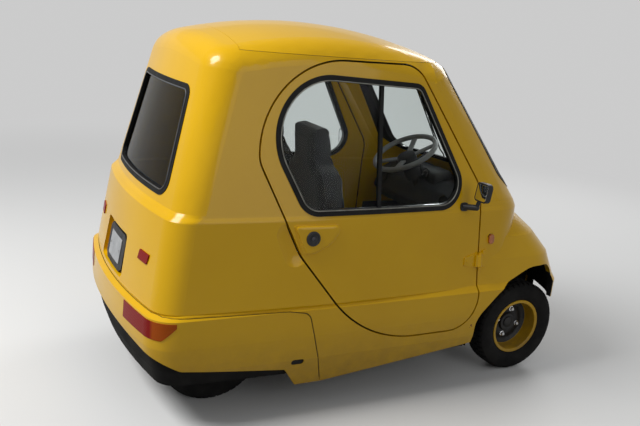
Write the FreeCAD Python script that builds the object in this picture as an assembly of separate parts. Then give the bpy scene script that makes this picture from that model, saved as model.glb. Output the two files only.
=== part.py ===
"""A small electric two-seat town car: a one-box cabin on two wide-set front wheels and two close-set rear ones.

Sizes are millimetres. X points forward, Y to the car's left and Z up. While a piece is being drawn, x is
counted forward from the rear bumper; every piece is moved back by half the length when it is written, so
the origin lies on the ground below the middle of the car. A left-hand piece is drawn and then mirrored.
"""
import FreeCAD
import Part
import math
import os
from FreeCAD import Vector

# Overall sizes
LENGTH = 2185.0
HEIGHT = 1565.0
WALL = 24.0                   # body wall and door, skin to lining
SEAM = 1.5                    # joint between two body panels
DOOR_GAP = 7.5
CRUSH = 0.3                   # clearance left where a soft or curved piece seats

# Plan shape: every horizontal section is a closed ring of eight arcs
REAR_BOW = 2250.0             # radius of the back, seen from above
NOSE_BOW = 1250.0
SIDE_BOW = 9000.0
SIDE_PEAK = 940.0             # x where the cabin is widest
LOWER_BOW = 30000.0
LOWER_PEAK = 1300.0           # x where the lower body is widest

# Roof crown
ROOF_PEAK = 810.0             # x of the highest point
ROOF_BOW_LONG = 1760.0
ROOF_BOW_CROSS = 1600.0
ROOF_EDGE = 120.0             # rounding from roof to sides

# Columns: height, rear face, half width, nose, rear corner radius, nose corner radius
CABIN_SECTIONS = (
    (430.0, 70.0, 552.0, 1850.0, 110.0, 190.0),
    (495.0, 25.0, 587.0, 1890.0, 115.0, 200.0),
    (835.0, 78.0, 553.0, 1890.0, 110.0, 200.0),
    (865.0, 108.0, 548.0, 1872.0, 115.0, 190.0),
    (1640.0, 302.0, 416.0, 1233.0, 150.0, 170.0),
)
LOWER_SECTIONS = (
    (120.0, 62.0, 553.0, LENGTH - 75.0, 115.0, 150.0),
    (260.0, 10.0, 589.0, LENGTH - 20.0, 120.0, 170.0),
    (360.0, 0.0, 594.0, LENGTH, 120.0, 180.0),
    (475.0, 3.0, 592.0, LENGTH, 120.0, 180.0),
    (500.0, 50.0, 570.0, LENGTH - 12.0, 115.0, 180.0),
    (611.0, 112.0, 553.0, LENGTH - 66.0, 110.0, 180.0),
    (710.0, 175.0, 531.0, LENGTH - 168.0, 110.0, 180.0),
    (820.0, 245.0, 430.0, LENGTH - 307.0, 110.0, 180.0),
)

# Side-view outlines. Columns: x, z, corner radius
DOOR_OUTLINE = (
    (954.0, 300.0, 550.0),
    (1549.0, 300.0, 150.0),
    (1520.0, 945.0, 150.0),
    (1154.0, 1450.0, 130.0),
    (453.0, 1450.0, 360.0),
    (453.0, 1060.0, 120.0),
    (635.0, 690.0, 300.0),
)
SIDE_WINDOW = (
    (647.0, 852.0, 100.0),
    (1488.0, 855.0, 110.0),
    (1177.0, 1374.0, 60.0),
    (520.0, 1400.0, 235.0),
    (520.0, 1090.0, 250.0),
)
BUMPER_OUTLINE = (
    (787.0, 125.0, 0.0),
    (690.0, 462.0, 45.0),
    (600.0, 478.0, 60.0),
    (-40.0, 490.0, 0.0),
    (-40.0, 380.0, 0.0),
    (173.0, 272.0, 60.0),
    (340.0, 250.0, 0.0),
    (607.0, 218.0, 15.0),
    (673.0, 125.0, 12.0),
)
SKIRT_OUTLINE = (
    (-40.0, 420.0, 0.0),
    (-40.0, 215.0, 0.0),
    (120.0, 190.0, 0.0),
    (640.0, 180.0, 20.0),
    (640.0, 250.0, 0.0),
    (340.0, 285.0, 0.0),
    (173.0, 310.0, 0.0),
)
# Front-view outlines. Columns: y, z, corner radius
REAR_WINDOW = (
    (-370.0, 892.0, 62.0),
    (370.0, 892.0, 62.0),
    (312.0, 1312.0, 50.0),
    (-312.0, 1312.0, 50.0),
)
WINDSCREEN = (
    (-488.0, 912.0, 80.0),
    (488.0, 912.0, 80.0),
    (394.0, 1442.0, 60.0),
    (-394.0, 1442.0, 60.0),
)
SEAL_WIDTH = 24.0
WINDOW_BAR_X = 982.0
SEAL_PROUD = 3.0
GLASS = 5.0
GLASS_DEPTH = 9.0             # glass lies this far inside the outer skin

# Panel joints
ROOF_SEAM_Z = 1458.0
ROOF_SEAM_X = 390.0
SIDE_SEAM_X = 900.0
SILL_SEAM_X = 1440.0
FRAME_SEAM_Z = 880.0
FLUSH = 0.3
SILL_REAR_Z = 131.0
SILL_FRONT_Z = 222.0

# Floor and inner walls
FLOOR_TOP = 212.0
FLOOR_THICK = 22.0
DECK_TOP = 520.0
BULKHEAD_X = 800.0            # front face of the wall behind the seats
FOOTWELL_HALF = 268.0
LINER = 4.0

# Wheels
TYRE_R = 225.0
TYRE_WIDTH = 115.0
RIM_R = 127.0
FLANGE_R = 137.0
STUB_R = 15.0
RUNNING_FIT = 0.05
AXLE_Z = TYRE_R
FRONT_AXLE_X = 1890.0
FRONT_WHEEL_Y = 450.0
REAR_AXLE_X = 385.0
REAR_WHEEL_Y = 292.0
ARCH_R = 345.0
HUB_IN = 67.0                 # from the wheel's middle to the inner end of its hub
HUB_OUT = 12.0                # from the wheel's middle inwards to the hub's closed outer end

# Steering
KINGPIN_Y = 340.0
KINGPIN_R = 16.0
KNUCKLE_LOW = 146.3
KNUCKLE_HIGH = 350.0
ARM_REACH = 90.0              # kingpin to rack end
ARM_LOW = 165.0
RACK_R = 9.0
RACK_Z = 152.0
WHEEL_CENTRE = Vector(1541.0, 130.0, 960.0)
COLUMN_RUN = Vector(0.5, 0.0, -0.866)
STEERING_R = 161.0
COLUMN_R = 21.0
SHAFT_R = 10.0

# Doors
HINGE_X = 1531.0
HINGE_Y = 567.5
HINGE_Z = 618.0
HINGE_R = 6.0
HINGE_TILT = 7.6              # degrees that the hinge line leans inwards as it rises

# Seats and heavy parts
SEAT_HALF = 205.0
SEAT_Y = 238.0
SEAT_FRONT = 1300.0
CUSHION_TOP = 505.0
BATTERY_TOP = 385.0
DASH_HALF = 480.0


def corner_points(corners):
    """For each rounded corner: where its arc starts, its middle and where it ends."""
    arcs = []
    for i, (x, z, radius) in enumerate(corners):
        before = corners[i - 1]
        after = corners[(i + 1) % len(corners)]
        a = Vector(before[0] - x, before[1] - z, 0).normalize()
        b = Vector(after[0] - x, after[1] - z, 0).normalize()
        here = Vector(x, z, 0)
        if radius <= 0:
            arcs.append((here, None, here))
            continue
        half = 0.5 * a.getAngle(b)
        reach = radius / math.tan(half)
        middle = here + (a + b).normalize() * (radius / math.sin(half) - radius)
        arcs.append((here + a * reach, middle, here + b * reach))
    return arcs


def inset_corners(corners, distance):
    """The same rounded outline, moved inwards by distance (outwards where it is negative)."""
    count = len(corners)
    area = sum(corners[i - 1][0] * corners[i][1] - corners[i][0] * corners[i - 1][1] for i in range(count))
    sign = 1.0 if area > 0 else -1.0
    lines = []
    for i in range(count):
        start = corners[i]
        end = corners[(i + 1) % count]
        run = Vector(end[0] - start[0], end[1] - start[1], 0).normalize()
        normal = Vector(-run.y, run.x, 0) * sign
        lines.append((Vector(start[0], start[1], 0) + normal * distance, run))
    moved = []
    for i in range(count):
        p, u = lines[i - 1]
        q, v = lines[i]
        cross = u.x * v.y - u.y * v.x
        reach = ((q.x - p.x) * v.y - (q.y - p.y) * v.x) / cross
        corner = p + u * reach
        moved.append((corner.x, corner.y, max(corners[i][2] - distance, 0.0)))
    return moved


def outline_face(corners, place):
    """A face from a rounded outline; place(a, b) gives the 3-D point of an outline point."""
    arcs = corner_points(corners)
    edges = []
    for i, (start, middle, end) in enumerate(arcs):
        if middle is not None:
            edges.append(Part.Arc(place(start.x, start.y), place(middle.x, middle.y), place(end.x, end.y)).toShape())
        following = arcs[(i + 1) % len(arcs)][0]
        if (following - end).Length > 1e-4:
            edges.append(Part.makeLine(place(end.x, end.y), place(following.x, following.y)))
    return Part.Face(Part.Wire(edges))


def side_prism(corners, y_from, y_to):
    """An outline drawn in side view, through the body from y_from to y_to."""
    face = outline_face(corners, lambda x, z: Vector(x, y_from, z))
    return face.extrude(Vector(0, y_to - y_from, 0))


def front_prism(corners, x_from, x_to):
    """An outline drawn in front view, from x_from to x_to."""
    face = outline_face(corners, lambda y, z: Vector(x_from, y, z))
    return face.extrude(Vector(x_to - x_from, 0, 0))


def plan_prism(corners, z_from, z_to):
    """An outline drawn in plan, from z_from up to z_to."""
    face = outline_face(corners, lambda x, y: Vector(x, y, z_from))
    return face.extrude(Vector(0, 0, z_to - z_from))


def block(x_from, x_to, y_from, y_to, z_from, z_to):
    return Part.makeBox(x_to - x_from, y_to - y_from, z_to - z_from, Vector(x_from, y_from, z_from))


def rod(start, end, radius):
    return Part.makeCylinder(radius, (end - start).Length, start, end - start)


def tube(start, end, radius, bore):
    return rod(start, end, radius).cut(rod(start, end, bore))


def fuse(shapes):
    joined = shapes[0]
    if len(shapes) > 1:
        joined = shapes[0].multiFuse(list(shapes[1:]))
    return joined.removeSplitter()


def mirrored(shape):
    return shape.mirror(Vector(0, 0, 0), Vector(0, 1, 0))


def both(shape):
    """A left-hand solid and its mirror image, as two solids of one node."""
    return Part.makeCompound([shape, mirrored(shape)])


def solids_of(shape):
    return sorted(shape.Solids, key=lambda solid: -solid.Volume)


def keep_large(shape, smallest=2000.0):
    """The shape without slivers under smallest cubic millimetres."""
    kept = [solid for solid in solids_of(shape) if solid.Volume > smallest]
    return kept[0] if len(kept) == 1 else Part.makeCompound(kept)


def circle_meet(first, first_r, second, second_r, pick):
    """Where two circles meet; pick scores the two answers."""
    gap = math.hypot(second[0] - first[0], second[1] - first[1])
    ux = (second[0] - first[0]) / gap
    uy = (second[1] - first[1]) / gap
    a = (first_r ** 2 - second_r ** 2 + gap ** 2) / (2 * gap)
    h = math.sqrt(first_r ** 2 - a ** 2)
    options = [(first[0] + a * ux + s * h * uy, first[1] + a * uy - s * h * ux) for s in (1, -1)]
    return max(options, key=pick)


def on_circle(centre, towards, radius):
    reach = math.hypot(towards[0] - centre[0], towards[1] - centre[1])
    return tuple(centre[i] + (towards[i] - centre[i]) * radius / reach for i in (0, 1))


def plan_ring(section, inset, bow_y=SIDE_BOW, peak=SIDE_PEAK):
    """One horizontal section of the body: back, corners, sides and nose as tangent arcs."""
    z, rear, half, nose, rear_corner, nose_corner = section
    rear += inset
    half -= inset
    nose -= inset
    back_centre = (rear + REAR_BOW - inset, 0.0)
    nose_centre = (nose - NOSE_BOW + inset, 0.0)
    side_centre = (peak, half - bow_y + inset)
    ends = []
    for bow_centre, bow, corner, sign in (
        (back_centre, REAR_BOW, rear_corner, -1),
        (nose_centre, NOSE_BOW, nose_corner, 1),
    ):
        centre = circle_meet(
            bow_centre, bow - corner, side_centre, bow_y - corner, lambda p: p[1] + sign * p[0]
        )
        on_bow = on_circle(bow_centre, centre, bow - inset)
        on_side = on_circle(side_centre, centre, bow_y - inset)
        halfway = (0.5 * (on_bow[0] + on_side[0]), 0.5 * (on_bow[1] + on_side[1]))
        ends.append((on_bow, on_circle(centre, halfway, corner - inset), on_side))
    (a, b, c), (f, e, d) = ends
    side_middle = on_circle(side_centre, (0.5 * (c[0] + d[0]), 0.5 * (c[1] + d[1])), bow_y - inset)

    def at(point, side=1):
        return Vector(point[0], side * point[1], z)

    runs = (
        (at(a, -1), at((rear, 0.0)), at(a)),
        (at(a), at(b), at(c)),
        (at(c), at(side_middle), at(d)),
        (at(d), at(e), at(f)),
        (at(f), at((nose, 0.0)), at(f, -1)),
        (at(f, -1), at(e, -1), at(d, -1)),
        (at(d, -1), at(side_middle, -1), at(c, -1)),
        (at(c, -1), at(b, -1), at(a, -1)),
    )
    return Part.Wire([Part.Arc(*run).toShape() for run in runs])


def roof_solid(inset):
    """Everything under the crowned roof: an arc along the car, turned about an axis that runs lengthwise."""
    reach = 900.0
    drop = reach ** 2 / (2 * ROOF_BOW_LONG)
    top = HEIGHT - inset
    crown = Part.Arc(
        Vector(ROOF_PEAK - reach, 0, top - drop), Vector(ROOF_PEAK, 0, top), Vector(ROOF_PEAK + reach, 0, top - drop)
    ).toShape()
    axis_z = HEIGHT - ROOF_BOW_CROSS
    low = axis_z + 20.0
    back, front = (vertex.Point for vertex in crown.Vertexes)
    nose = LENGTH + 60.0
    corners = (front, Vector(nose, 0, front.z), Vector(nose, 0, low), Vector(back.x, 0, low), back)
    sides = [Part.makeLine(corners[i], corners[i + 1]) for i in range(len(corners) - 1)]
    slice_face = Part.Face(Part.Wire([crown] + sides))
    slice_face.rotate(Vector(0, 0, axis_z), Vector(1, 0, 0), -80)
    return slice_face.revolve(Vector(0, 0, axis_z), Vector(1, 0, 0), 160)


HULLS = {}


def hull(inset):
    """The body's outer form, or the same form with every surface moved inwards by inset."""
    if inset in HULLS:
        return HULLS[inset]
    cabin = Part.makeLoft([plan_ring(section, inset) for section in CABIN_SECTIONS], True, True)
    cabin = cabin.common(roof_solid(inset))
    rim = [edge for edge in cabin.Edges if edge.BoundBox.ZMin > ROOF_SEAM_Z - 110]
    cabin = cabin.makeFillet(ROOF_EDGE - inset, rim)
    rings = [plan_ring(section, inset, LOWER_BOW, LOWER_PEAK) for section in LOWER_SECTIONS]
    lower = Part.makeLoft(rings, True, True)
    HULLS[inset] = cabin.fuse(lower).removeSplitter()
    return HULLS[inset]


def skin(outer, inner):
    """The part of the body between two depths below its surface."""
    return hull(outer).cut(hull(inner))


def patch(outer, inner, zone):
    """The body's skin between two depths, inside a zone; a negative depth stands proud."""
    return hull(outer).common(zone).cut(hull(inner))


WIDE = 760.0
TALL = HEIGHT + 60.0


def whole(corners):
    return side_prism(corners, -WIDE, WIDE)


def arch_prism():
    """The front wheel's opening in the fender, in side view: sloping behind, squarer in front."""
    corners = (
        (FRONT_AXLE_X - 350.0, 90.0, 0.0),
        (FRONT_AXLE_X - 342.0, AXLE_Z + 120.0, 110.0),
        (FRONT_AXLE_X - 200.0, AXLE_Z + 260.0, 300.0),
        (FRONT_AXLE_X - 30.0, AXLE_Z + 336.0, 200.0),
        (FRONT_AXLE_X + 132.0, AXLE_Z + 338.0, 70.0),
        (FRONT_AXLE_X + 128.0, AXLE_Z + 170.0, 0.0),
        (FRONT_AXLE_X + 400.0, AXLE_Z + 170.0, 0.0),
        (FRONT_AXLE_X + 400.0, 90.0, 0.0),
    )
    return side_prism(corners, FOOTWELL_HALF, WIDE)


PLATE_POCKET = (
    (-170.0, 508.0, 18.0),
    (170.0, 508.0, 18.0),
    (155.0, 686.0, 18.0),
    (-155.0, 686.0, 18.0),
)
POCKET_DEPTH = 20.0
POCKET_BACK = 14.0            # thickness of the pocket's back wall
POCKET_RIM = 10.0             # how far that wall reaches past the pocket's edge
PLATE_HOLDER = (
    (-128.0, 530.0, 0.0),
    (-100.0, 512.0, 0.0),
    (100.0, 512.0, 0.0),
    (128.0, 530.0, 0.0),
    (128.0, 648.0, 0.0),
    (100.0, 668.0, 0.0),
    (-100.0, 668.0, 0.0),
    (-128.0, 648.0, 0.0),
)
PLATE = ((-84.0, 538.0, 4.0), (84.0, 538.0, 4.0), (84.0, 640.0, 4.0), (-84.0, 640.0, 4.0))
TAIL_LAMP = (
    (-40.0, 398.0, 0.0),
    (98.0, 398.0, 14.0),
    (150.0, 452.0, 6.0),
    (150.0, 468.0, 0.0),
    (-40.0, 468.0, 0.0),
)
TAIL_LAMP_Y = 290.0
HEADLAMP = Vector(LENGTH - 88.0, 300.0, 548.0)
HEADLAMP_R = 60.0
HEADLAMP_DEPTH = 70.0
BARREL_R = HEADLAMP_R + 12.0
HINGE_LEAF = (
    (HINGE_X - 83.0, HINGE_Z - 19.0, 6.0),
    (HINGE_X - 6.0, HINGE_Z - 34.0, 6.0),
    (HINGE_X - 6.0, HINGE_Z + 34.0, 6.0),
    (HINGE_X - 83.0, HINGE_Z + 17.0, 6.0),
)
HINGE_COVER = (
    (HINGE_X + 21.0, HINGE_Z - 35.0, 6.0),
    (HINGE_X + 51.0, HINGE_Z - 35.0, 10.0),
    (HINGE_X + 51.0, HINGE_Z + 45.0, 10.0),
    (HINGE_X + 21.0, HINGE_Z + 45.0, 6.0),
)
LOCK_PAD = (
    (600.0, 820.0, 6.0),
    (825.0, 818.0, 20.0),
    (765.0, 738.0, 60.0),
    (690.0, 702.0, 30.0),
    (640.0, 702.0, 20.0),
)
SCOOP_R = 110.0
SCOOP_DEPTH = 12.0
BUMPER_SLOT = ((629.0, 238.0, 11.0), (685.0, 238.0, 11.0), (685.0, 262.0, 11.0), (629.0, 262.0, 11.0))


def tail_lamp_zone(inset):
    return side_prism(inset_corners(TAIL_LAMP, inset), TAIL_LAMP_Y + inset, WIDE)


def nacelle(radius, back, front):
    """A lengthwise barrel round the headlamp, from back to front measured from its face."""
    return rod(HEADLAMP + Vector(back, 0, 0), HEADLAMP + Vector(front, 0, 0), radius)


def body_wall():
    """The painted body as one wall, with its windows, doors and arches cut."""
    under = whole((
        (600.0, 0.0, 0.0),
        (600.0, SILL_REAR_Z, 0.0),
        (780.0, SILL_REAR_Z, 0.0),
        (FRONT_AXLE_X - 347.0, SILL_FRONT_Z, 0.0),
        (LENGTH + 50.0, SILL_FRONT_Z + 30.0, 0.0),
        (LENGTH + 50.0, 0.0, 0.0),
    ))
    door = side_prism(DOOR_OUTLINE, 0, WIDE)
    arch = arch_prism()
    lamp = tail_lamp_zone(0)
    barrel = nacelle(HEADLAMP_R, -200, 120)
    cuts = [under, door, mirrored(door), arch, mirrored(arch), lamp, mirrored(lamp)]
    cuts += [front_prism(REAR_WINDOW, -60, 500), front_prism(WINDSCREEN, 1150, 2100)]
    cuts += [front_prism(PLATE_POCKET, -60, 300), whole(BUMPER_SLOT)]
    wall = skin(0, WALL)
    surround = nacelle(BARREL_R, -HEADLAMP_DEPTH, 8)
    wall = wall.multiFuse([surround, mirrored(surround)])
    for cut in cuts + [barrel, mirrored(barrel)]:
        wall = wall.cut(cut)
    return wall


def leaned(shape):
    """A left-hand hinge piece, drawn upright, set on the leaning hinge line."""
    shape.rotate(Vector(HINGE_X, HINGE_Y, HINGE_Z), Vector(1, 0, 0), HINGE_TILT)
    return shape


def cabin_half(x, z):
    """Half the cabin's width at a place on its side, between the corner arcs."""
    for low, high in zip(CABIN_SECTIONS, CABIN_SECTIONS[1:]):
        if low[0] <= z <= high[0]:
            half = low[2] + (high[2] - low[2]) * (z - low[0]) / (high[0] - low[0])
    return half - (x - SIDE_PEAK) ** 2 / (2 * SIDE_BOW)


def finger_scoop():
    """A shallow hollow behind the door's rear edge, below the belt, for the fingers."""
    ends = []
    for x, z in ((611.0, 716.0), (578.0, 793.0)):
        ends.append(Vector(x, cabin_half(x, z) + SCOOP_R - SCOOP_DEPTH, z))
    low, high = ends
    return fuse([rod(low, high, SCOOP_R), Part.makeSphere(SCOOP_R, low), Part.makeSphere(SCOOP_R, high)])


def body_panels():
    """The wall cut at its joints: each painted body panel by name."""
    wall = body_wall()
    bumper_clear = whole(inset_corners(BUMPER_OUTLINE, -SEAM))
    below_bumper = block(-60, 660, -WIDE, WIDE, 0, 420)
    roof_zone = block(ROOF_SEAM_X, LENGTH, -WIDE, WIDE, ROOF_SEAM_Z, TALL)
    roof_clear = block(ROOF_SEAM_X - SEAM, LENGTH, -WIDE, WIDE, ROOF_SEAM_Z - SEAM, TALL)
    panels = {}
    panels["rear_bumper"] = keep_large(wall.common(whole(BUMPER_OUTLINE)))
    panels["roof_panel"] = keep_large(wall.common(roof_zone))
    rest = wall.cut(bumper_clear).cut(roof_clear).cut(below_bumper)
    rear = rest.common(block(-60, SIDE_SEAM_X - FLUSH, -WIDE, WIDE, 0, TALL))
    pocket = front_prism(inset_corners(PLATE_POCKET, -POCKET_RIM), -60, 300)
    rear = fuse([keep_large(rear), patch(POCKET_DEPTH, POCKET_DEPTH + POCKET_BACK, pocket)])
    scoop = finger_scoop()
    panels["rear_shell"] = keep_large(rear.cut(scoop).cut(mirrored(scoop)))
    frame = rest.common(block(SIDE_SEAM_X, LENGTH, -WIDE, WIDE, FRAME_SEAM_Z, TALL))
    panels["windscreen_frame"] = keep_large(frame)
    sill = rest.common(block(SIDE_SEAM_X, SILL_SEAM_X - FLUSH, 0, WIDE, 0, FRAME_SEAM_Z - FLUSH))
    panels["sill_panels"] = both(keep_large(sill))
    nose = keep_large(rest.common(block(SILL_SEAM_X, LENGTH + 60, -WIDE, WIDE, 0, FRAME_SEAM_Z - FLUSH)))
    pieces = [rod(Vector(HINGE_X, HINGE_Y, HINGE_Z - 36), Vector(HINGE_X, HINGE_Y, HINGE_Z + 36), HINGE_R)]
    for z in (HINGE_Z - 36, HINGE_Z + 28):
        pieces.append(block(HINGE_X - 4, HINGE_X + 24, HINGE_Y - 8, HINGE_Y + 3, z, z + 8))
        pieces.append(block(HINGE_X + 10, HINGE_X + 24, HINGE_Y - 22, HINGE_Y + 3, z, z + 8))
    cover = patch(-6.0, 1.0, side_prism(HINGE_COVER, 0, WIDE))
    hinge = fuse([leaned(fuse(pieces)), cover])
    panels["front_shell"] = keep_large(fuse([nose, hinge, mirrored(hinge)]))
    return panels


def door_panel():
    """The left door: a cut of the body wall, with its window open and its hinge leaf."""
    zone = side_prism(inset_corners(DOOR_OUTLINE, DOOR_GAP), 0, WIDE)
    panel = patch(0, WALL, zone).cut(side_prism(SIDE_WINDOW, 0, WIDE))
    leaf = patch(-5.0, 1.0, side_prism(HINGE_LEAF, 0, WIDE))
    eye = rod(Vector(HINGE_X, HINGE_Y, HINGE_Z - 27.5), Vector(HINGE_X, HINGE_Y, HINGE_Z + 27.5), HINGE_R + 5.0)
    web = block(HINGE_X - 22, HINGE_X, HINGE_Y - 12, HINGE_Y + 3, HINGE_Z - 27.5, HINGE_Z + 27.5)
    bore = rod(Vector(HINGE_X, HINGE_Y, HINGE_Z - 40), Vector(HINGE_X, HINGE_Y, HINGE_Z + 40), HINGE_R + RUNNING_FIT)
    pad = patch(-3.0, 1.0, side_prism(LOCK_PAD, 0, WIDE))
    crown = patch(-5.0, 1.0, side_prism(inset_corners(LOCK_PAD, 5.0), 0, WIDE))
    raised = fuse([pad, crown]).common(zone)
    return keep_large(fuse([panel, leaf, leaned(eye.fuse(web)), raised]).cut(leaned(bore)))


def window(corners, prism, *reach):
    """The seal ring and the pane that fill one window opening."""
    opening = prism(corners, *reach)
    inside = prism(inset_corners(corners, SEAL_WIDTH), *reach)
    ring = patch(-SEAL_PROUD, WALL - 2.0, opening).cut(inside)
    pane = patch(GLASS_DEPTH, GLASS_DEPTH + GLASS, inside)
    return keep_large(ring), keep_large(pane)


def side_window():
    """The door's seal with its upright bar, and the two panes that meet at the bar."""
    seal, pane = window(SIDE_WINDOW, side_prism, 0, WIDE)
    bar_zone = block(WINDOW_BAR_X - 8, WINDOW_BAR_X + 8, 0, WIDE, 800, TALL)
    inside = side_prism(inset_corners(SIDE_WINDOW, SEAL_WIDTH - 2.0), 0, WIDE)
    bar = patch(4.0, WALL - 4.0, bar_zone.common(inside))
    return fuse([seal, bar]), pane.cut(bar_zone)


def floor_pan():
    """Flat cabin floor, narrow between the front wheels, with the wall and the deck behind the seats."""
    inside = hull(WALL + CRUSH)
    base = block(BULKHEAD_X - FLOOR_THICK, LENGTH - 60, -WIDE, WIDE, FLOOR_TOP - FLOOR_THICK, FLOOR_TOP)
    notch = block(FRONT_AXLE_X - ARCH_R - 15, LENGTH, FOOTWELL_HALF - LINER - CRUSH, WIDE, 0, TALL)
    base = base.common(inside).cut(notch).cut(mirrored(notch))
    deck = block(0, BULKHEAD_X, -WIDE, WIDE, DECK_TOP - FLOOR_THICK, DECK_TOP).common(inside)
    pocket = front_prism(inset_corners(PLATE_POCKET, -POCKET_RIM - CRUSH), -60, 300)
    deck = deck.cut(patch(0, POCKET_DEPTH + POCKET_BACK + CRUSH, pocket))
    pad = block(250, 680, -350, 350, DECK_TOP, DECK_TOP + 3)
    upright = block(BULKHEAD_X - FLOOR_THICK, BULKHEAD_X, -WIDE, WIDE, FLOOR_TOP - FLOOR_THICK, DECK_TOP)
    return fuse([base, deck, upright.common(inside), pad])


def wheel_liner():
    """The left front wheel's inner arch: a curved roof over the wheel and a wall beside the footwell."""
    centre = Vector(FRONT_AXLE_X, 0, AXLE_Z)
    inner = FOOTWELL_HALF - LINER
    side = Vector(0, WIDE, 0)
    arch = tube(centre + Vector(0, inner, 0), centre + side, ARCH_R + LINER, ARCH_R)
    cheek = rod(centre + Vector(0, inner, 0), centre + Vector(0, FOOTWELL_HALF, 0), ARCH_R + LINER)
    nose = block(FRONT_AXLE_X, LENGTH, inner, FOOTWELL_HALF, FLOOR_TOP - FLOOR_THICK, AXLE_Z + ARCH_R)
    room = block(FRONT_AXLE_X - ARCH_R - LINER, LENGTH, 0, WIDE, FLOOR_TOP - FLOOR_THICK, TALL)
    liner = fuse([arch, cheek, nose]).common(room).common(hull(WALL + CRUSH))
    return keep_large(liner.cut(nacelle(BARREL_R + CRUSH, -HEADLAMP_DEPTH - CRUSH, 60)))


def rear_skirt():
    zone = whole(SKIRT_OUTLINE)
    return keep_large(patch(WALL + CRUSH, WALL + 11.0, zone))


def tail_lamp():
    return keep_large(patch(-2.0, WALL - 4.0, tail_lamp_zone(CRUSH)))


def reflector():
    """The small red reflector beside the number plate, on the skin."""
    zone = front_prism(((302.0, 642.0, 2.0), (384.0, 642.0, 2.0), (392.0, 680.0, 2.0), (310.0, 680.0, 2.0)), -60, 400)
    return patch(-5.0, 0, zone)


def headlamp():
    """A round lamp unit that fills its barrel, with a domed face."""
    body = nacelle(HEADLAMP_R - CRUSH, -HEADLAMP_DEPTH, 0)
    radius = 160.0
    dome = Part.makeSphere(radius, HEADLAMP + Vector(12.0 - radius, 0, 0))
    cap = nacelle(HEADLAMP_R - 6.0, 0, 60).common(dome)
    return fuse([body, cap])


def front_marker():
    """The turn lamp low on the fender's front corner."""
    zone = front_prism(((415.0, 428.0, 8.0), (500.0, 428.0, 8.0), (500.0, 462.0, 8.0), (415.0, 462.0, 8.0)), 1800, 2300)
    return patch(-3.0, 0, zone)


def side_marker():
    corners = ((1583.0, 688.0, 14.0), (1612.0, 688.0, 14.0), (1612.0, 731.0, 14.0), (1583.0, 731.0, 14.0))
    return patch(-9.0, 0, side_prism(corners, 0, WIDE))


def plate_holder():
    zone = front_prism(PLATE_HOLDER, -60, 300)
    return patch(9.0, POCKET_DEPTH, zone)


def number_plate():
    return patch(7.0, 9.0, front_prism(PLATE, -60, 300))


def door_mirror():
    """The left mirror: a stout arm from the door below the window and a thin framed head facing back."""
    root = Vector(1422.0, 536.0, 864.0)
    elbow = Vector(1450.0, 586.0, 872.0)
    neck = Vector(1449.0, 598.0, 905.0)
    head = ((572.0, 905.0, 14.0), (652.0, 905.0, 20.0), (662.0, 990.0, 18.0), (584.0, 988.0, 14.0))
    shell = front_prism(head, 1438.0, 1460.0)
    arm = fuse([rod(root, elbow, 13.0), Part.makeSphere(13.0, elbow), rod(elbow, neck, 9.0), Part.makeSphere(9.0, neck)])
    corners = ((1401.0, 846.0, 14.0), (1444.0, 846.0, 14.0), (1444.0, 882.0, 14.0), (1401.0, 882.0, 14.0))
    foot = patch(-5.0, 0, side_prism(corners, 0, WIDE))
    return fuse([arm.cut(hull(0)), foot, shell])


def wiper(pivot_y, tip_y):
    """A wiper lying on the windscreen: pivot on the cowl, arm and blade."""
    pivot = Vector(0, pivot_y, 893.0)
    tip = Vector(0, tip_y, 1300.0)
    run = (tip - pivot).normalize()
    across = Vector(0, -run.z, run.y)

    def strip(low, high, half):
        ends = [pivot + run * low + across * half, pivot + run * low - across * half]
        ends += [pivot + run * high - across * half, pivot + run * high + across * half]
        return front_prism([(point.y, point.z, 0.0) for point in ends], 1150, 2100)

    boss = patch(-16.0, 0, rod(Vector(1500, pivot_y, 893.0), Vector(2100, pivot_y, 893.0), 13.0))
    arm = patch(-15.0, -8.0, strip(-6.0, 300.0, 6.0))
    blade = patch(-15.0, GLASS_DEPTH - CRUSH, strip(130.0, 400.0, 4.0))
    return fuse([boss, arm, blade])


def dashboard():
    """A padded shelf under the windscreen, hollow below for knees, bored for the column."""
    face = (
        (1640.0, 650.0, 0.0),
        (1600.0, 710.0, 15.0),
        (1625.0, 800.0, 35.0),
        (1700.0, 838.0, 30.0),
        (1845.0, 852.0, 10.0),
        (1850.0, 770.0, 0.0),
        (1740.0, 700.0, 40.0),
    )
    bore = rod(WHEEL_CENTRE, WHEEL_CENTRE + COLUMN_RUN * 1200, COLUMN_R + CRUSH)
    shelf = side_prism(face, -DASH_HALF, DASH_HALF).common(hull(WALL + CRUSH))
    return keep_large(shelf.cut(bore))


def column_point(distance):
    return WHEEL_CENTRE + COLUMN_RUN * distance


def steering_column():
    """The fixed jacket below the steering wheel, then a steeper tube down to the footwell floor."""
    bend = column_point(330.0)
    foot = Vector(bend.x + 55.0, bend.y, FLOOR_TOP)
    jacket = rod(column_point(50.0), bend, COLUMN_R)
    lower = rod(bend, foot, 14.0)
    boot = rod(foot, foot + Vector(0, 0, 22.0), 30.0)
    column = fuse([jacket, Part.makeSphere(COLUMN_R, bend), lower, boot])
    bore = rod(column_point(0), column_point(190.0), SHAFT_R + RUNNING_FIT)
    return column.cut(bore).common(block(0, LENGTH, -WIDE, WIDE, FLOOR_TOP, TALL))


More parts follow.
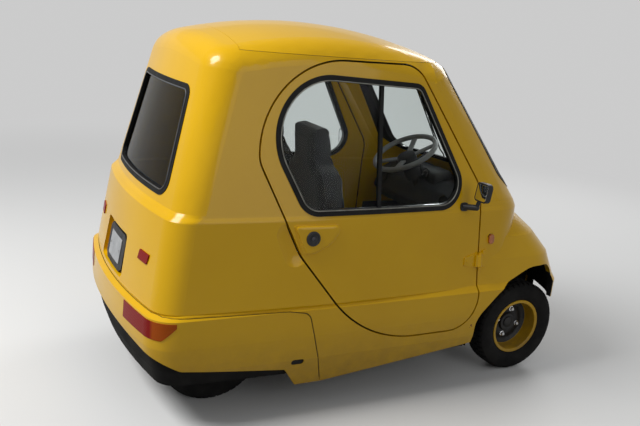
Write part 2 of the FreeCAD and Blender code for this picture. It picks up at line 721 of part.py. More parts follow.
def steering_wheel():
    """Padded ring, four spokes, hub and the shaft that turns in the jacket."""
    ring = Part.makeTorus(STEERING_R, 13.0, Vector(0, 0, 0), Vector(0, 0, 1))
    hub = Part.makeCylinder(46.0, 26.0, Vector(0, 0, -45), Vector(0, 0, 1))
    pieces = [ring, hub]
    for angle in (35, 145, 215, 325):
        spoke = Part.makeBox(STEERING_R - 30.0, 26.0, 9.0, Vector(30.0, -13.0, -29.0))
        spoke.rotate(Vector(30, 0, -24), Vector(0, 1, 0), -9)
        spoke.rotate(Vector(0, 0, 0), Vector(0, 0, 1), angle)
        pieces.append(spoke)
    pieces.append(Part.makeCylinder(SHAFT_R, 140.0, Vector(0, 0, -180), Vector(0, 0, 1)))
    wheel = fuse(pieces)
    tilt = math.degrees(math.atan2(COLUMN_RUN.x, -COLUMN_RUN.z))
    wheel.rotate(Vector(0, 0, 0), Vector(0, 1, 0), -tilt)
    wheel.translate(WHEEL_CENTRE)
    return wheel


def seat_cushion():
    profile = (
        (SEAT_FRONT - 455.0, BATTERY_TOP + CRUSH, 10.0),
        (SEAT_FRONT, BATTERY_TOP + CRUSH, 20.0),
        (SEAT_FRONT + 5.0, CUSHION_TOP + 12.0, 45.0),
        (SEAT_FRONT - 455.0, CUSHION_TOP - 10.0, 10.0),
    )
    return side_prism(profile, SEAT_Y - SEAT_HALF, SEAT_Y + SEAT_HALF)


def seat_back():
    """A reclined backrest that narrows to a head pad at the top."""
    profile = (
        (SEAT_FRONT - 455.0, CUSHION_TOP + 2.0, 8.0),
        (SEAT_FRONT - 330.0, CUSHION_TOP + 4.0, 20.0),
        (SEAT_FRONT - 430.0, 1010.0, 0.0),
        (SEAT_FRONT - 470.0, 1190.0, 30.0),
        (SEAT_FRONT - 550.0, 1175.0, 30.0),
        (SEAT_FRONT - 530.0, 1000.0, 0.0),
    )
    front = (
        (SEAT_Y - SEAT_HALF, CUSHION_TOP - 20.0, 10.0),
        (SEAT_Y + SEAT_HALF, CUSHION_TOP - 20.0, 10.0),
        (SEAT_Y + SEAT_HALF - 18.0, 985.0, 70.0),
        (SEAT_Y + 115.0, 1030.0, 40.0),
        (SEAT_Y + 105.0, 1200.0, 50.0),
        (SEAT_Y - 105.0, 1200.0, 50.0),
        (SEAT_Y - 115.0, 1030.0, 40.0),
        (SEAT_Y - SEAT_HALF + 18.0, 985.0, 70.0),
    )
    return side_prism(profile, -WIDE, WIDE).common(front_prism(front, 400, 1400))


def battery_pack():
    return block(BULKHEAD_X + CRUSH, SEAT_FRONT - 20.0, -430, 430, FLOOR_TOP, BATTERY_TOP)


def front_suspension():
    """Cross member under the floor, lower arms, rack housing and the two sprung struts."""
    low = KNUCKLE_LOW - CRUSH - 16.0
    member = block(FRONT_AXLE_X - 32, FRONT_AXLE_X + 32, -262, 262, low, FLOOR_TOP - FLOOR_THICK)
    arm = plan_prism((
        (FRONT_AXLE_X - 45.0, 240.0, 0.0),
        (FRONT_AXLE_X + 45.0, 240.0, 0.0),
        (FRONT_AXLE_X + 18.0, KINGPIN_Y + 20.0, 12.0),
        (FRONT_AXLE_X - 18.0, KINGPIN_Y + 20.0, 12.0),
    ), low, KNUCKLE_LOW - CRUSH)
    rack_x = FRONT_AXLE_X - ARM_REACH
    housing = rod(Vector(rack_x, -150, RACK_Z), Vector(rack_x, 150, RACK_Z), RACK_R + 8.0)
    hanger = block(rack_x - 12, FRONT_AXLE_X - 20, -60, 60, RACK_Z, FLOOR_TOP - FLOOR_THICK)
    bore = rod(Vector(rack_x, -200, RACK_Z), Vector(rack_x, 200, RACK_Z), RACK_R + RUNNING_FIT)
    frame = fuse([member, arm, mirrored(arm), housing, hanger]).cut(bore)
    foot = Vector(FRONT_AXLE_X, KINGPIN_Y, KNUCKLE_HIGH + CRUSH)
    top = Vector(FRONT_AXLE_X, KINGPIN_Y, AXLE_Z + ARCH_R)
    strut = [rod(foot, foot + Vector(0, 0, 50), KINGPIN_R), rod(foot, top, 9.0)]
    strut += [Part.makeCylinder(38.0, 6.0, foot + Vector(0, 0, 50)), Part.makeCylinder(40.0, 8.0, top - Vector(0, 0, 8))]
    pitch = 21.0
    turns = int((top.z - foot.z - 64.0) / pitch)
    for turn in range(turns):
        strut.append(Part.makeTorus(29.0, 5.5, foot + Vector(0, 0, 56 + pitch * (turn + 0.5)), Vector(0, 0, 1)))
    web = Part.makeCylinder(25.0, top.z - foot.z - 52.0, foot + Vector(0, 0, 50))
    arch_room = rod(Vector(FRONT_AXLE_X, 0, AXLE_Z), Vector(FRONT_AXLE_X, WIDE, AXLE_Z), ARCH_R - 1.0)
    strut_left = fuse(strut + [web]).common(arch_room)
    return Part.makeCompound([frame, strut_left, mirrored(strut_left)])


def knuckle():
    """The left steering knuckle: kingpin, stub axle, back plate and steering arm."""
    kingpin = rod(
        Vector(FRONT_AXLE_X, KINGPIN_Y, KNUCKLE_LOW), Vector(FRONT_AXLE_X, KINGPIN_Y, KNUCKLE_HIGH), KINGPIN_R
    )
    stub_end = FRONT_WHEEL_Y - HUB_OUT - 2.0
    stub = rod(Vector(FRONT_AXLE_X, KINGPIN_Y, AXLE_Z), Vector(FRONT_AXLE_X, stub_end, AXLE_Z), STUB_R)
    plate_y = FRONT_WHEEL_Y - HUB_IN - 5.0
    neck = rod(Vector(FRONT_AXLE_X, KINGPIN_Y, AXLE_Z), Vector(FRONT_AXLE_X, plate_y, AXLE_Z), 26.0)
    plate = rod(Vector(FRONT_AXLE_X, plate_y - 6.0, AXLE_Z), Vector(FRONT_AXLE_X, plate_y, AXLE_Z), 88.0)
    arm = plan_prism((
        (FRONT_AXLE_X, KINGPIN_Y - 14.0, 0.0),
        (FRONT_AXLE_X, KINGPIN_Y + 14.0, 0.0),
        (FRONT_AXLE_X - ARM_REACH - 14.0, KINGPIN_Y + 12.0, 11.0),
        (FRONT_AXLE_X - ARM_REACH - 14.0, KINGPIN_Y - 12.0, 11.0),
    ), ARM_LOW, ARM_LOW + 14.0)
    return fuse([kingpin, neck, stub, plate, arm])


def steering_rack():
    """The sliding rod with a flat eye below each steering arm."""
    rack_x = FRONT_AXLE_X - ARM_REACH
    bar = rod(Vector(rack_x, -KINGPIN_Y, RACK_Z), Vector(rack_x, KINGPIN_Y, RACK_Z), RACK_R)
    eye_low = RACK_Z - 6.0
    eyes = [
        rod(Vector(rack_x, side * KINGPIN_Y, eye_low), Vector(rack_x, side * KINGPIN_Y, ARM_LOW - CRUSH), 13.0)
        for side in (1, -1)
    ]
    return fuse([bar] + eyes)


def turned(profile, centre):
    """A profile of (radius, y, corner radius) turned about a crosswise axis through centre."""
    face = outline_face(profile, lambda r, y: Vector(0, y, r))
    solid = face.revolve(Vector(0, 0, 0), Vector(0, 1, 0), 360)
    solid.translate(centre)
    return solid


def tyre(centre):
    half = 0.5 * TYRE_WIDTH
    profile = (
        (RIM_R + 1.5, -41.4, 0.0),
        (FLANGE_R + 0.7, -44.4, 0.0),
        (RIM_R + 18.0, -50.0, 4.0),
        (TYRE_R - 50.0, -half - 6.0, 26.0),
        (TYRE_R - 10.0, -half + 8.0, 16.0),
        (TYRE_R, -half + 20.0, 10.0),
        (TYRE_R, half - 20.0, 10.0),
        (TYRE_R - 10.0, half - 8.0, 16.0),
        (TYRE_R - 50.0, half + 6.0, 26.0),
        (RIM_R + 18.0, 50.0, 4.0),
        (FLANGE_R + 0.7, 44.4, 0.0),
        (RIM_R + 1.5, 41.4, 0.0),
    )
    return turned(profile, centre)


def rim(centre):
    """A deep pressed-steel rim with its hub; its open face looks towards +Y."""
    hub_r = 44.0
    profile = (
        (STUB_R + RUNNING_FIT, -HUB_IN, 0.0),
        (hub_r, -HUB_IN, 0.0),
        (hub_r, -34.0, 4.0),
        (RIM_R - 22.0, -34.0, 10.0),
        (RIM_R - 10.0, -46.0, 4.0),
        (FLANGE_R, -50.0, 3.0),
        (FLANGE_R, -45.0, 0.0),
        (RIM_R + 1.0, -42.0, 3.0),
        (RIM_R + 1.0, 42.0, 3.0),
        (FLANGE_R, 45.0, 0.0),
        (FLANGE_R, 50.0, 3.0),
        (RIM_R - 6.0, 46.0, 4.0),
        (RIM_R - 10.0, -16.0, 8.0),
        (RIM_R - 26.0, -28.0, 10.0),
        (hub_r, -28.0, 4.0),
        (hub_r, -HUB_OUT, 4.0),
        (0.0, -HUB_OUT, 0.0),
        (0.0, -HUB_OUT - 2.0, 0.0),
        (STUB_R + RUNNING_FIT, -HUB_OUT - 2.0, 0.0),
    )
    return turned(profile, centre)


def rear_axle():
    """The rear beam with stub axles, gear housing, trailing arms and springs."""
    stub_end = REAR_WHEEL_Y - HUB_OUT - 2.0
    hub_face = REAR_WHEEL_Y - HUB_IN - 1.0
    centre = Vector(REAR_AXLE_X, 0, AXLE_Z)
    beam = rod(centre - Vector(0, hub_face, 0), centre + Vector(0, hub_face, 0), 24.0)
    stubs = rod(centre - Vector(0, stub_end, 0), centre + Vector(0, stub_end, 0), STUB_R)
    housing = block(REAR_AXLE_X - 45, REAR_AXLE_X + 50, -60, 60, AXLE_Z - 60, AXLE_Z + 60)
    pieces = [beam, stubs, housing]
    for side in (1, -1):
        near = side * 150.0
        pieces.append(block(REAR_AXLE_X, BULKHEAD_X - FLOOR_THICK, near - 14, near + 14, AXLE_Z - 16, AXLE_Z + 16))
        foot = Vector(REAR_AXLE_X, side * 100.0, AXLE_Z)
        pieces.append(rod(foot, Vector(foot.x, foot.y, DECK_TOP - FLOOR_THICK), 12.0))
        pieces.append(rod(foot + Vector(0, 0, 60), Vector(foot.x, foot.y, DECK_TOP - FLOOR_THICK - 12), 30.0))
    return fuse(pieces)


def drive_motor():
    back = REAR_AXLE_X + 50.0
    return rod(Vector(back, 0, AXLE_Z), Vector(back + 215.0, 0, AXLE_Z), 88.0)


PIECES = body_panels()
PIECES["rear_skirt"] = rear_skirt()
PIECES["floor_pan"] = floor_pan()
PIECES["wheel_liners"] = both(wheel_liner())
screen_seal, PIECES["windscreen"] = window(WINDSCREEN, front_prism, 1150, 2100)
back_seal, PIECES["rear_window"] = window(REAR_WINDOW, front_prism, -60, 500)
PIECES["window_seals"] = Part.makeCompound([screen_seal, back_seal])
PIECES["rear_lamps"] = Part.makeCompound([both(tail_lamp()), both(reflector())])
PIECES["headlamps"] = both(headlamp())
PIECES["turn_lamps"] = Part.makeCompound([both(front_marker()), both(side_marker())])
PIECES["plate_holder"] = plate_holder()
PIECES["number_plate"] = number_plate()
PIECES["wipers"] = Part.makeCompound([wiper(170.0, 60.0), wiper(-190.0, -300.0)])
PIECES["dashboard"] = dashboard()
PIECES["steering_column"] = steering_column()
PIECES["seat_cushions"] = both(seat_cushion())
PIECES["seat_backs"] = both(seat_back())
PIECES["battery_pack"] = battery_pack()
PIECES["front_suspension"] = front_suspension()
PIECES["rear_axle"] = Part.makeCompound([rear_axle(), drive_motor()])
PIECES["steering_wheel"] = steering_wheel()
PIECES["steering_rack"] = steering_rack()

seal, pane = side_window()
LEFT_HAND = {
    "door": door_panel(),
    "door_seal": seal,
    "door_glass": pane,
    "door_mirror": door_mirror(),
    "knuckle": knuckle(),
    "front_tyre": tyre(Vector(FRONT_AXLE_X, FRONT_WHEEL_Y, AXLE_Z)),
    "front_rim": rim(Vector(FRONT_AXLE_X, FRONT_WHEEL_Y, AXLE_Z)),
    "rear_tyre": tyre(Vector(REAR_AXLE_X, REAR_WHEEL_Y, AXLE_Z)),
    "rear_rim": rim(Vector(REAR_AXLE_X, REAR_WHEEL_Y, AXLE_Z)),
}
for name, shape in LEFT_HAND.items():
    PIECES[name + "_left"] = shape
    PIECES[name + "_right"] = mirrored(shape)

os.makedirs("parts", exist_ok=True)
for name, shape in PIECES.items():
    shape.translate(Vector(-0.5 * LENGTH, 0, 0))
    shape.exportStep("parts/" + name + ".step")
    print(name, shape.isValid(), len(shape.Solids), round(shape.Volume / 1e6, 3))
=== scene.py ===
import math
import bmesh
import bpy
from mathutils import Matrix, Vector
from mathutils.bvhtree import BVHTree


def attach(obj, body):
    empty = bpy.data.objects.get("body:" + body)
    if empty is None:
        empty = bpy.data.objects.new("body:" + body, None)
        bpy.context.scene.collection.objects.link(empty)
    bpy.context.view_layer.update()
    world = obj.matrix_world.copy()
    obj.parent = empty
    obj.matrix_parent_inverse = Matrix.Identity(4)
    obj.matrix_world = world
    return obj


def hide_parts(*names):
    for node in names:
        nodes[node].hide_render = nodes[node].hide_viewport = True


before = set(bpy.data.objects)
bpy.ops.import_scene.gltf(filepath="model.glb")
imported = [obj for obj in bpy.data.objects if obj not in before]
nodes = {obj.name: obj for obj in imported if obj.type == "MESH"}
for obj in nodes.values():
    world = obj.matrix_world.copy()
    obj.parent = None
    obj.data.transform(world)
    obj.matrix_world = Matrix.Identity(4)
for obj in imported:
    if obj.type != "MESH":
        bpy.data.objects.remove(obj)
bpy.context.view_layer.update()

shift = Matrix.Translation


def turn_z(degrees):
    return Matrix.Rotation(math.radians(degrees), 4, "Z")


def in_scene(name, data):
    """A new object with its data, linked to the scene."""
    made = bpy.data.objects.new(name, data)
    bpy.context.collection.objects.link(made)
    return made


# Camera

camera = bpy.data.cameras.new("photo_camera")
camera.sensor_width = 36.0
camera.lens = 41.8
viewer = in_scene("photo_camera", camera)
right = Vector((0.885, -0.455, 0.098)).normalized()
ahead = Vector((0.464, 0.845, -0.265)).normalized()
right = (right - ahead * right.dot(ahead)).normalized()
upward = right.cross(ahead)
turn = Matrix((right, upward, -ahead)).transposed().to_4x4()
viewer.matrix_world = shift((-1.7265, -2.991, 1.633)) @ turn
bpy.context.scene.camera = viewer


# Finishes

def finish_material(name, base, rough=0.5, metal=0.0, coat=0.0, coat_rough=0.05, gloss=0.5):
    """A node material with its shader; the pattern is wired in by the callers."""
    mat = bpy.data.materials.new(name)
    mat.use_nodes = True
    shader = mat.node_tree.nodes["Principled BSDF"]
    for key, value in (("Base Color", (*base, 1.0)), ("Roughness", rough), ("Metallic", metal), ("Coat Weight", coat),
                       ("Coat Roughness", coat_rough), ("Specular IOR Level", gloss)):
        shader.inputs[key].default_value = value
    return mat, mat.node_tree, shader


def add(tree, kind, **settings):
    made = tree.nodes.new("ShaderNode" + kind)
    for key, value in settings.items():
        if key in made.inputs.keys():
            made.inputs[key].default_value = value
        else:
            setattr(made, key, value)
    return made


def own_place(tree):
    """A point's place in the piece's own coordinates."""
    return add(tree, "TexCoord").outputs["Object"]


def noise(tree, scale, detail=4.0, rough=0.55):
    cloud = add(tree, "TexNoise", Scale=scale, Detail=detail, Roughness=rough)
    tree.links.new(own_place(tree), cloud.inputs["Vector"])
    return cloud.outputs["Fac"]


def waves(tree, scale, axis, wander=0.0):
    """Ribs or threads that follow each other along one axis."""
    made = add(tree, "TexWave", Scale=scale, Distortion=wander)
    made.bands_direction = axis
    tree.links.new(own_place(tree), made.inputs["Vector"])
    return made.outputs["Fac"]


def rescaled(tree, source, start, end, low=0.0, high=1.0, ease="LINEAR"):
    """A value that goes from low to high while its source goes from start to end."""
    made = add(tree, "MapRange", interpolation_type=ease)
    for key, value in (("From Min", start), ("From Max", end), ("To Min", low), ("To Max", high)):
        made.inputs[key].default_value = value
    tree.links.new(source, made.inputs["Value"])
    return made.outputs["Result"]


def combined(tree, operation, first, second):
    """Two values multiplied, compared or otherwise put together."""
    made = add(tree, "Math", operation=operation)
    for socket, value in zip(made.inputs, (first, second)):
        if isinstance(value, float):
            socket.default_value = value
        else:
            tree.links.new(value, socket)
    return made.outputs["Value"]


def ramp(tree, source, stops):
    """A colour ramp over a factor; stops are (position, colour)."""
    made = add(tree, "ValToRGB")
    elements = made.color_ramp.elements
    while len(elements) < len(stops):
        elements.new(0.5)
    for element, (position, colour) in zip(elements, stops):
        element.position = position
        element.color = (*colour, 1.0)
    tree.links.new(source, made.inputs["Fac"])
    return made.outputs["Color"]


def grey(value):
    return (value, value, value)


def bump(tree, shader, source, strength, distance, over=None):
    made = add(tree, "Bump", Strength=strength, Distance=distance)
    tree.links.new(source, made.inputs["Height"])
    if over:
        tree.links.new(over, made.inputs["Normal"])
    tree.links.new(made.outputs["Normal"], shader.inputs["Normal"])


def clouded(name, dark, light, scale, rough, relief=0.0, relief_scale=None, spread=0.08, **kind):
    """Colour that drifts between two shades, roughness that drifts too, and a fine bump."""
    mat, tree, shader = finish_material(name, light, rough, **kind)
    drift = noise(tree, scale)
    colour = ramp(tree, drift, ((0.3, dark), (0.7, light)))
    tree.links.new(colour, shader.inputs["Base Color"])
    dullness = ((0.3, grey(rough - spread)), (0.7, grey(rough + spread)))
    tree.links.new(ramp(tree, noise(tree, scale * 2.3), dullness), shader.inputs["Roughness"])
    if relief:
        bump(tree, shader, noise(tree, relief_scale or scale * 20, 3.0), relief, 0.001)
    return mat


YELLOW = (0.70, 0.405, 0.003)
YELLOW_DEEP = (0.64, 0.360, 0.002)
# The soft ledge round the car below its windows, in metres
BELT_LOW = 0.838
BELT_HIGH = 0.858
BELT_STEP = 0.006
# Dust thins out between these heights, in metres
DUST_LOW = 0.12
DUST_HIGH = 0.42
DUST_COLOUR = (0.14, 0.085, 0.03, 1.0)


def yellow_paint(name, grime):
    """Golden paint: slight drift in shade, faint orange peel, the belt's soft ledge, dust towards the sills."""
    mat, tree, shader = finish_material(name, YELLOW, 0.34, coat=0.38, coat_rough=0.07, gloss=0.1)
    base = ramp(tree, noise(tree, 2.2), ((0.25, YELLOW_DEEP), (0.75, YELLOW)))
    split = add(tree, "SeparateXYZ")
    tree.links.new(own_place(tree), split.inputs["Vector"])
    height = split.outputs["Z"]
    low_down = rescaled(tree, height, DUST_LOW, DUST_HIGH, grime, 0.0)
    patchy = combined(tree, "MULTIPLY", low_down, noise(tree, 14.0, 8.0, 0.7))
    dust = add(tree, "Mix", data_type="RGBA")
    tree.links.new(patchy, dust.inputs["Factor"])
    tree.links.new(base, dust.inputs["A"])
    dust.inputs["B"].default_value = DUST_COLOUR
    tree.links.new(dust.outputs["Result"], shader.inputs["Base Color"])
    tree.links.new(rescaled(tree, patchy, 0.0, 1.0, 0.30, 0.75), shader.inputs["Roughness"])
    ledge = add(tree, "Bump", Strength=1.0, Distance=BELT_STEP)
    tree.links.new(rescaled(tree, height, BELT_LOW, BELT_HIGH, 1.0, 0.0, "SMOOTHSTEP"), ledge.inputs["Height"])
    bump(tree, shader, noise(tree, 160.0, 2.0), 0.02, 0.001, over=ledge.outputs["Normal"])
    return mat


GLASS_ROUGH = 0.01


def clear_glass(name, tint):
    """Thin panes with a faint smear, as on glass that is wiped now and then."""
    mat, tree, shader = finish_material(name, tint, GLASS_ROUGH)
    shader.inputs["Transmission Weight"].default_value = 1.0
    shader.inputs["IOR"].default_value = 1.12
    smear = ramp(tree, noise(tree, 7.0, 6.0, 0.6), ((0.4, grey(GLASS_ROUGH)), (0.8, grey(GLASS_ROUGH + 0.05))))
    tree.links.new(smear, shader.inputs["Roughness"])
    return mat


def lens(name, colour, rib_scale, axis, transmission):
    """Moulded lamp plastic with ribs across one axis."""
    mat, tree, shader = finish_material(name, colour, 0.12, coat=0.6)
    shader.inputs["Transmission Weight"].default_value = transmission
    shader.inputs["IOR"].default_value = 1.45
    bump(tree, shader, waves(tree, rib_scale, axis), 0.5, 0.002)
    drift = ramp(tree, noise(tree, 30.0), ((0.3, tuple(0.75 * c for c in colour)), (0.7, colour)))
    tree.links.new(drift, shader.inputs["Base Color"])
    return mat


LAMP_RED = (0.22, 0.006, 0.004)
LAMP_AMBER = (0.36, 0.07, 0.006)
# Where the tail lamps turn from red to amber, going forwards, and the height above which all is red, in metres
AMBER_START = -1.045
AMBER_FULL = -1.005
AMBER_TOP = 0.55


def tail_lens(name):
    """Red lamp plastic with an amber end round the corner, and ribs along the lamp."""
    mat, tree, shader = finish_material(name, LAMP_RED, 0.3, coat=0.06, gloss=0.05)
    split = add(tree, "SeparateXYZ")
    tree.links.new(own_place(tree), split.inputs["Vector"])
    forwards = rescaled(tree, split.outputs["X"], AMBER_START, AMBER_FULL)
    corner = combined(tree, "MULTIPLY", forwards, combined(tree, "LESS_THAN", split.outputs["Z"], AMBER_TOP))
    tree.links.new(ramp(tree, corner, ((0.40, LAMP_RED), (0.62, LAMP_AMBER))), shader.inputs["Base Color"])
    bump(tree, shader, waves(tree, 55.0, "Z"), 0.25, 0.002)
    return mat


def woven(name, dark, light):
    """Seat cloth: two crossed sets of threads with a soft sheen."""
    mat, tree, shader = finish_material(name, light, 0.9)
    shader.inputs["Sheen Weight"].default_value = 0.35
    cross = combined(tree, "MULTIPLY", waves(tree, 260.0, "X", 0.6), waves(tree, 260.0, "Z", 0.6))
    tree.links.new(ramp(tree, cross, ((0.2, dark), (0.8, light))), shader.inputs["Base Color"])
    bump(tree, shader, cross, 0.5, 0.0008)
    return mat


body_yellow = yellow_paint("golden_yellow_paint", 0.9)
rim_yellow = yellow_paint("wheel_yellow_paint", 1.1)
# Columns: name, dark and light shade, scale of the drift between them, roughness, relief, scale of the relief
seal_rubber = clouded("seal_rubber", grey(0.006), (0.013, 0.013, 0.012), 9.0, 0.6, 0.2, gloss=0.15)
trim_plastic = clouded("grained_black_plastic", (0.008, 0.008, 0.009), (0.016, 0.016, 0.017), 12.0, 0.5, 0.3, 420.0,
                       gloss=0.35)
skirt_plastic = clouded("dark_grey_skirt_plastic", grey(0.006), (0.018, 0.017, 0.016), 6.0, 0.8, 0.35, 260.0,
                        gloss=0.08)
dash_plastic = clouded("dash_plastic", (0.018, 0.018, 0.02), (0.032, 0.032, 0.035), 8.0, 0.6, 0.5, 330.0)
steering_plastic = clouded("steering_wheel_grey", (0.24, 0.24, 0.235), (0.34, 0.34, 0.33), 10.0, 0.45, 0.3, 300.0)
chassis_paint = clouded("chassis_black_paint", (0.012, 0.011, 0.010), (0.040, 0.034, 0.029), 7.0, 0.65, 0.3)
battery_plastic = clouded("battery_case_plastic", (0.03, 0.03, 0.032), (0.055, 0.055, 0.06), 5.0, 0.5, 0.3)
mirror_silver = clouded("mirror_silver", (0.86, 0.87, 0.88), (0.92, 0.93, 0.94), 6.0, 0.03, spread=0.01, metal=1.0)
bowl_chrome = clouded("lamp_bowl_chrome", (0.80, 0.80, 0.81), (0.92, 0.92, 0.93), 9.0, 0.10, spread=0.04, metal=1.0)
nut_chrome = clouded("bright_nut_steel", (0.55, 0.55, 0.56), (0.78, 0.78, 0.79), 40.0, 0.22, 0.1, metal=1.0)
# Black of the hub cover, partly painted shade of the wheel's dish.
hub_cover_and_shade = clouded("hub_cover_black_and_dish_shade", (0.006, 0.006, 0.007), (0.014, 0.013, 0.012), 16.0, 0.5, 0.25, 200.0,
                    gloss=0.35)
# The side windows' bead is pale grey: a painted highlight along the seal's lip, not the rubber's own colour.
bead_highlight = clouded("pale_bead_painted_highlight", (0.13, 0.13, 0.11), (0.30, 0.29, 0.25), 24.0, 0.55, 0.2)
# The rear window's bead is dark grey: a painted soft reflection on the seal.
rear_bead_reflection = clouded("rear_bead_painted_reflection", (0.035, 0.036, 0.036), grey(0.11), 12.0, 0.4, 0.2)
lock_metal = clouded("dark_lock_metal", (0.03, 0.03, 0.035), (0.09, 0.09, 0.10), 50.0, 0.3, 0.1, metal=0.8)
underseal = clouded("black_underseal", grey(0.006), (0.016, 0.015, 0.014), 22.0, 0.9, 0.7, 240.0, gloss=0.2)
liner_cloth = clouded("headliner_felt", (0.045, 0.047, 0.048), (0.075, 0.078, 0.080), 30.0, 0.95, 0.6, 700.0, 0.03)
mat_rubber = clouded("ribbed_mat_rubber", (0.010, 0.010, 0.011), (0.024, 0.024, 0.025), 18.0, 0.7, 0.4)
dial_white = clouded("dial_face_white", (0.55, 0.56, 0.55), (0.66, 0.67, 0.66), 30.0, 0.4)
screw_steel = clouded("screw_steel", (0.30, 0.29, 0.28), grey(0.52), 60.0, 0.32, 0.2, metal=0.9)
rust = clouded("rust_bloom", (0.10, 0.028, 0.006), (0.26, 0.085, 0.012), 300.0, 0.85, 0.5, 900.0, 0.05)
bare_steel = clouded("bare_steel", grey(0.28), grey(0.5), 25.0, 0.35, 0.2, metal=1.0)
plate_metal = clouded("blank_plate_metal", (0.34, 0.35, 0.36), (0.46, 0.47, 0.48), 20.0, 0.45, 0.1, metal=0.3)
tyre_rubber = clouded("tyre_rubber", grey(0.007), (0.019, 0.018, 0.017), 11.0, 0.85, 0.4, gloss=0.12)
pane_glass = clear_glass("window_glass", (0.86, 0.90, 0.89))
smoked_glass = clear_glass("smoked_rear_glass", (0.34, 0.37, 0.37))
lamp_glass = lens("headlamp_glass", (0.93, 0.93, 0.92), 22.0, "Y", 0.9)
marker_lens = lens("turn_lamp_amber", (0.75, 0.20, 0.01), 60.0, "Z", 0.3)
tail_plastic = tail_lens("tail_lamp_plastic")
seat_cloth = woven("dark_seat_cloth", (0.010, 0.010, 0.012), (0.045, 0.045, 0.05))

NODE_FINISH = {
    body_yellow: ("rear_shell", "front_shell", "windscreen_frame", "sill_panels", "roof_panel", "rear_bumper",
                  "door_left", "door_right"),
    rim_yellow: ("front_rim_left", "front_rim_right", "rear_rim_left", "rear_rim_right"),
    seal_rubber: ("window_seals", "door_seal_left", "door_seal_right"),
    trim_plastic: ("plate_holder", "wipers", "steering_column", "door_mirror_left", "door_mirror_right"),
    skirt_plastic: ("rear_skirt", "wheel_liners"),
    dash_plastic: ("dashboard",),
    steering_plastic: ("steering_wheel",),
    chassis_paint: ("floor_pan", "front_suspension", "rear_axle", "knuckle_left", "knuckle_right"),
    battery_plastic: ("battery_pack",),
    bare_steel: ("steering_rack",),
    plate_metal: ("number_plate",),
    tyre_rubber: ("front_tyre_left", "front_tyre_right", "rear_tyre_left", "rear_tyre_right"),
    pane_glass: ("windscreen", "door_glass_left", "door_glass_right"),
    smoked_glass: ("rear_window",),
    lamp_glass: ("headlamps",),
    marker_lens: ("turn_lamps",),
    tail_plastic: ("rear_lamps",),
    seat_cloth: ("seat_cushions", "seat_backs"),
}
for finish, names in NODE_FINISH.items():
    for name in names:
        for slot in nodes[name].material_slots:
            slot.material = finish


# Places on the car. Lengths in these tables are millimetres: x forward from the rear bumper, y left, z up.

HALF_LENGTH = 1.0925
GROUND_TO_AXLE = 225.0
SIDES = (("left", 1.0), ("right", -1.0))


def at(x, y, z):
    return Vector((0.001 * x - HALF_LENGTH, 0.001 * y, 0.001 * z))


def node_tree_of(*names):
    """The joined surface of some CAD nodes, to find places on."""
    spots = []
    faces = []
    for name in names:
        mesh = nodes[name].data
        faces += [tuple(len(spots) + i for i in face.vertices) for face in mesh.polygons]
        spots += [vert.co for vert in mesh.vertices]
    return BVHTree.FromPolygons(spots, faces)


def first_hit(tree, start, direction):
    """Where a line meets a surface first, and the outward direction there."""
    return tree.ray_cast(start, Vector(direction))[:2]


def from_side(tree, x, z, side):
    return first_hit(tree, at(x, 1400.0 * side, z), (0.0, -side, 0.0))


def from_front(tree, y, z):
    return first_hit(tree, at(3000.0, y, z), (-1.0, 0.0, 0.0))


def from_rear(tree, y, z):
    return first_hit(tree, at(-600.0, y, z), (1.0, 0.0, 0.0))


def facing(place, outward, roll=0.0):
    """A turn and move that puts a shape's own Z along outward, at place."""
    turn = outward.to_track_quat("Z", "Y").to_matrix().to_4x4()
    return shift(place) @ turn @ turn_z(roll)


def finish_piece(name, mesh, body, finish, sharp):
    """A named object from a finished mesh: smooth faces, creases past the sharp angle, its body and its finish."""
    for face in mesh.polygons:
        face.use_smooth = True
    mesh.set_sharp_from_angle(angle=math.radians(sharp))
    made = in_scene(name, mesh)
    mesh.materials.clear()
    mesh.materials.append(finish)
    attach(made, body)
    return made


def mesh_from(shape, name):
    """The working form as a mesh."""
    mesh = bpy.data.meshes.new(name)
    shape.to_mesh(mesh)
    shape.free()
    return mesh


def evaluated_mesh(thing):
    """An object's mesh as its modifiers or its curve make it."""
    bpy.context.view_layer.update()
    return bpy.data.meshes.new_from_object(thing.evaluated_get(bpy.context.evaluated_depsgraph_get()))


def close_up(shape):
    """Doubled points become one, and all faces look outwards."""
    bmesh.ops.remove_doubles(shape, verts=shape.verts, dist=0.00002)
    bmesh.ops.recalc_face_normals(shape, faces=shape.faces)


def piece(name, body, finish, build, sharp=35.0):
    """One named piece from a function that shapes it."""
    shape = bmesh.new()
    build(shape)
    close_up(shape)
    return finish_piece(name, mesh_from(shape, name), body, finish, sharp)


def turned(shape, profile, steps, place, closed=False):
    """A profile of (radius, height) in millimetres, spun about its own Z and moved into place."""
    ring = [shape.verts.new((0.001 * r, 0.0, 0.001 * h)) for r, h in profile]
    ends = ring[1:] + ring[:1] if closed else ring[1:]
    edges = [shape.edges.new(pair) for pair in zip(ring, ends)]
    before = set(shape.verts) - set(ring)
    bmesh.ops.spin(shape, geom=ring + edges, cent=(0, 0, 0), axis=(0, 0, 1), dvec=(0, 0, 0), angle=2 * math.pi,
                   steps=steps, use_merge=True, use_normal_flip=False, use_duplicate=False)
    made = [vert for vert in shape.verts if vert not in before]
    bmesh.ops.transform(shape, matrix=place, verts=made)
    return made


def spun(name, body, finish, profile, steps, place, closed=False):
    """One named piece from a single turned profile."""
    return piece(name, body, finish, lambda shape: turned(shape, profile, steps, place, closed))


def points_of(items):
    return [item for item in items if isinstance(item, bmesh.types.BMVert)]


def set_off(shape, faces):
    """The points of some faces, parted from their surroundings by new walls and ready to be moved."""
    made = bmesh.ops.extrude_face_region(shape, geom=faces)["geom"]
    bmesh.ops.delete(shape, geom=faces, context="FACES")
    return points_of(made)


def closed_loop(shape, places):
    """The edges of a ring through places."""
    ring = [shape.verts.new(place) for place in places]
    return [shape.edges.new((ring[i - 1], ring[i])) for i in range(len(ring))]


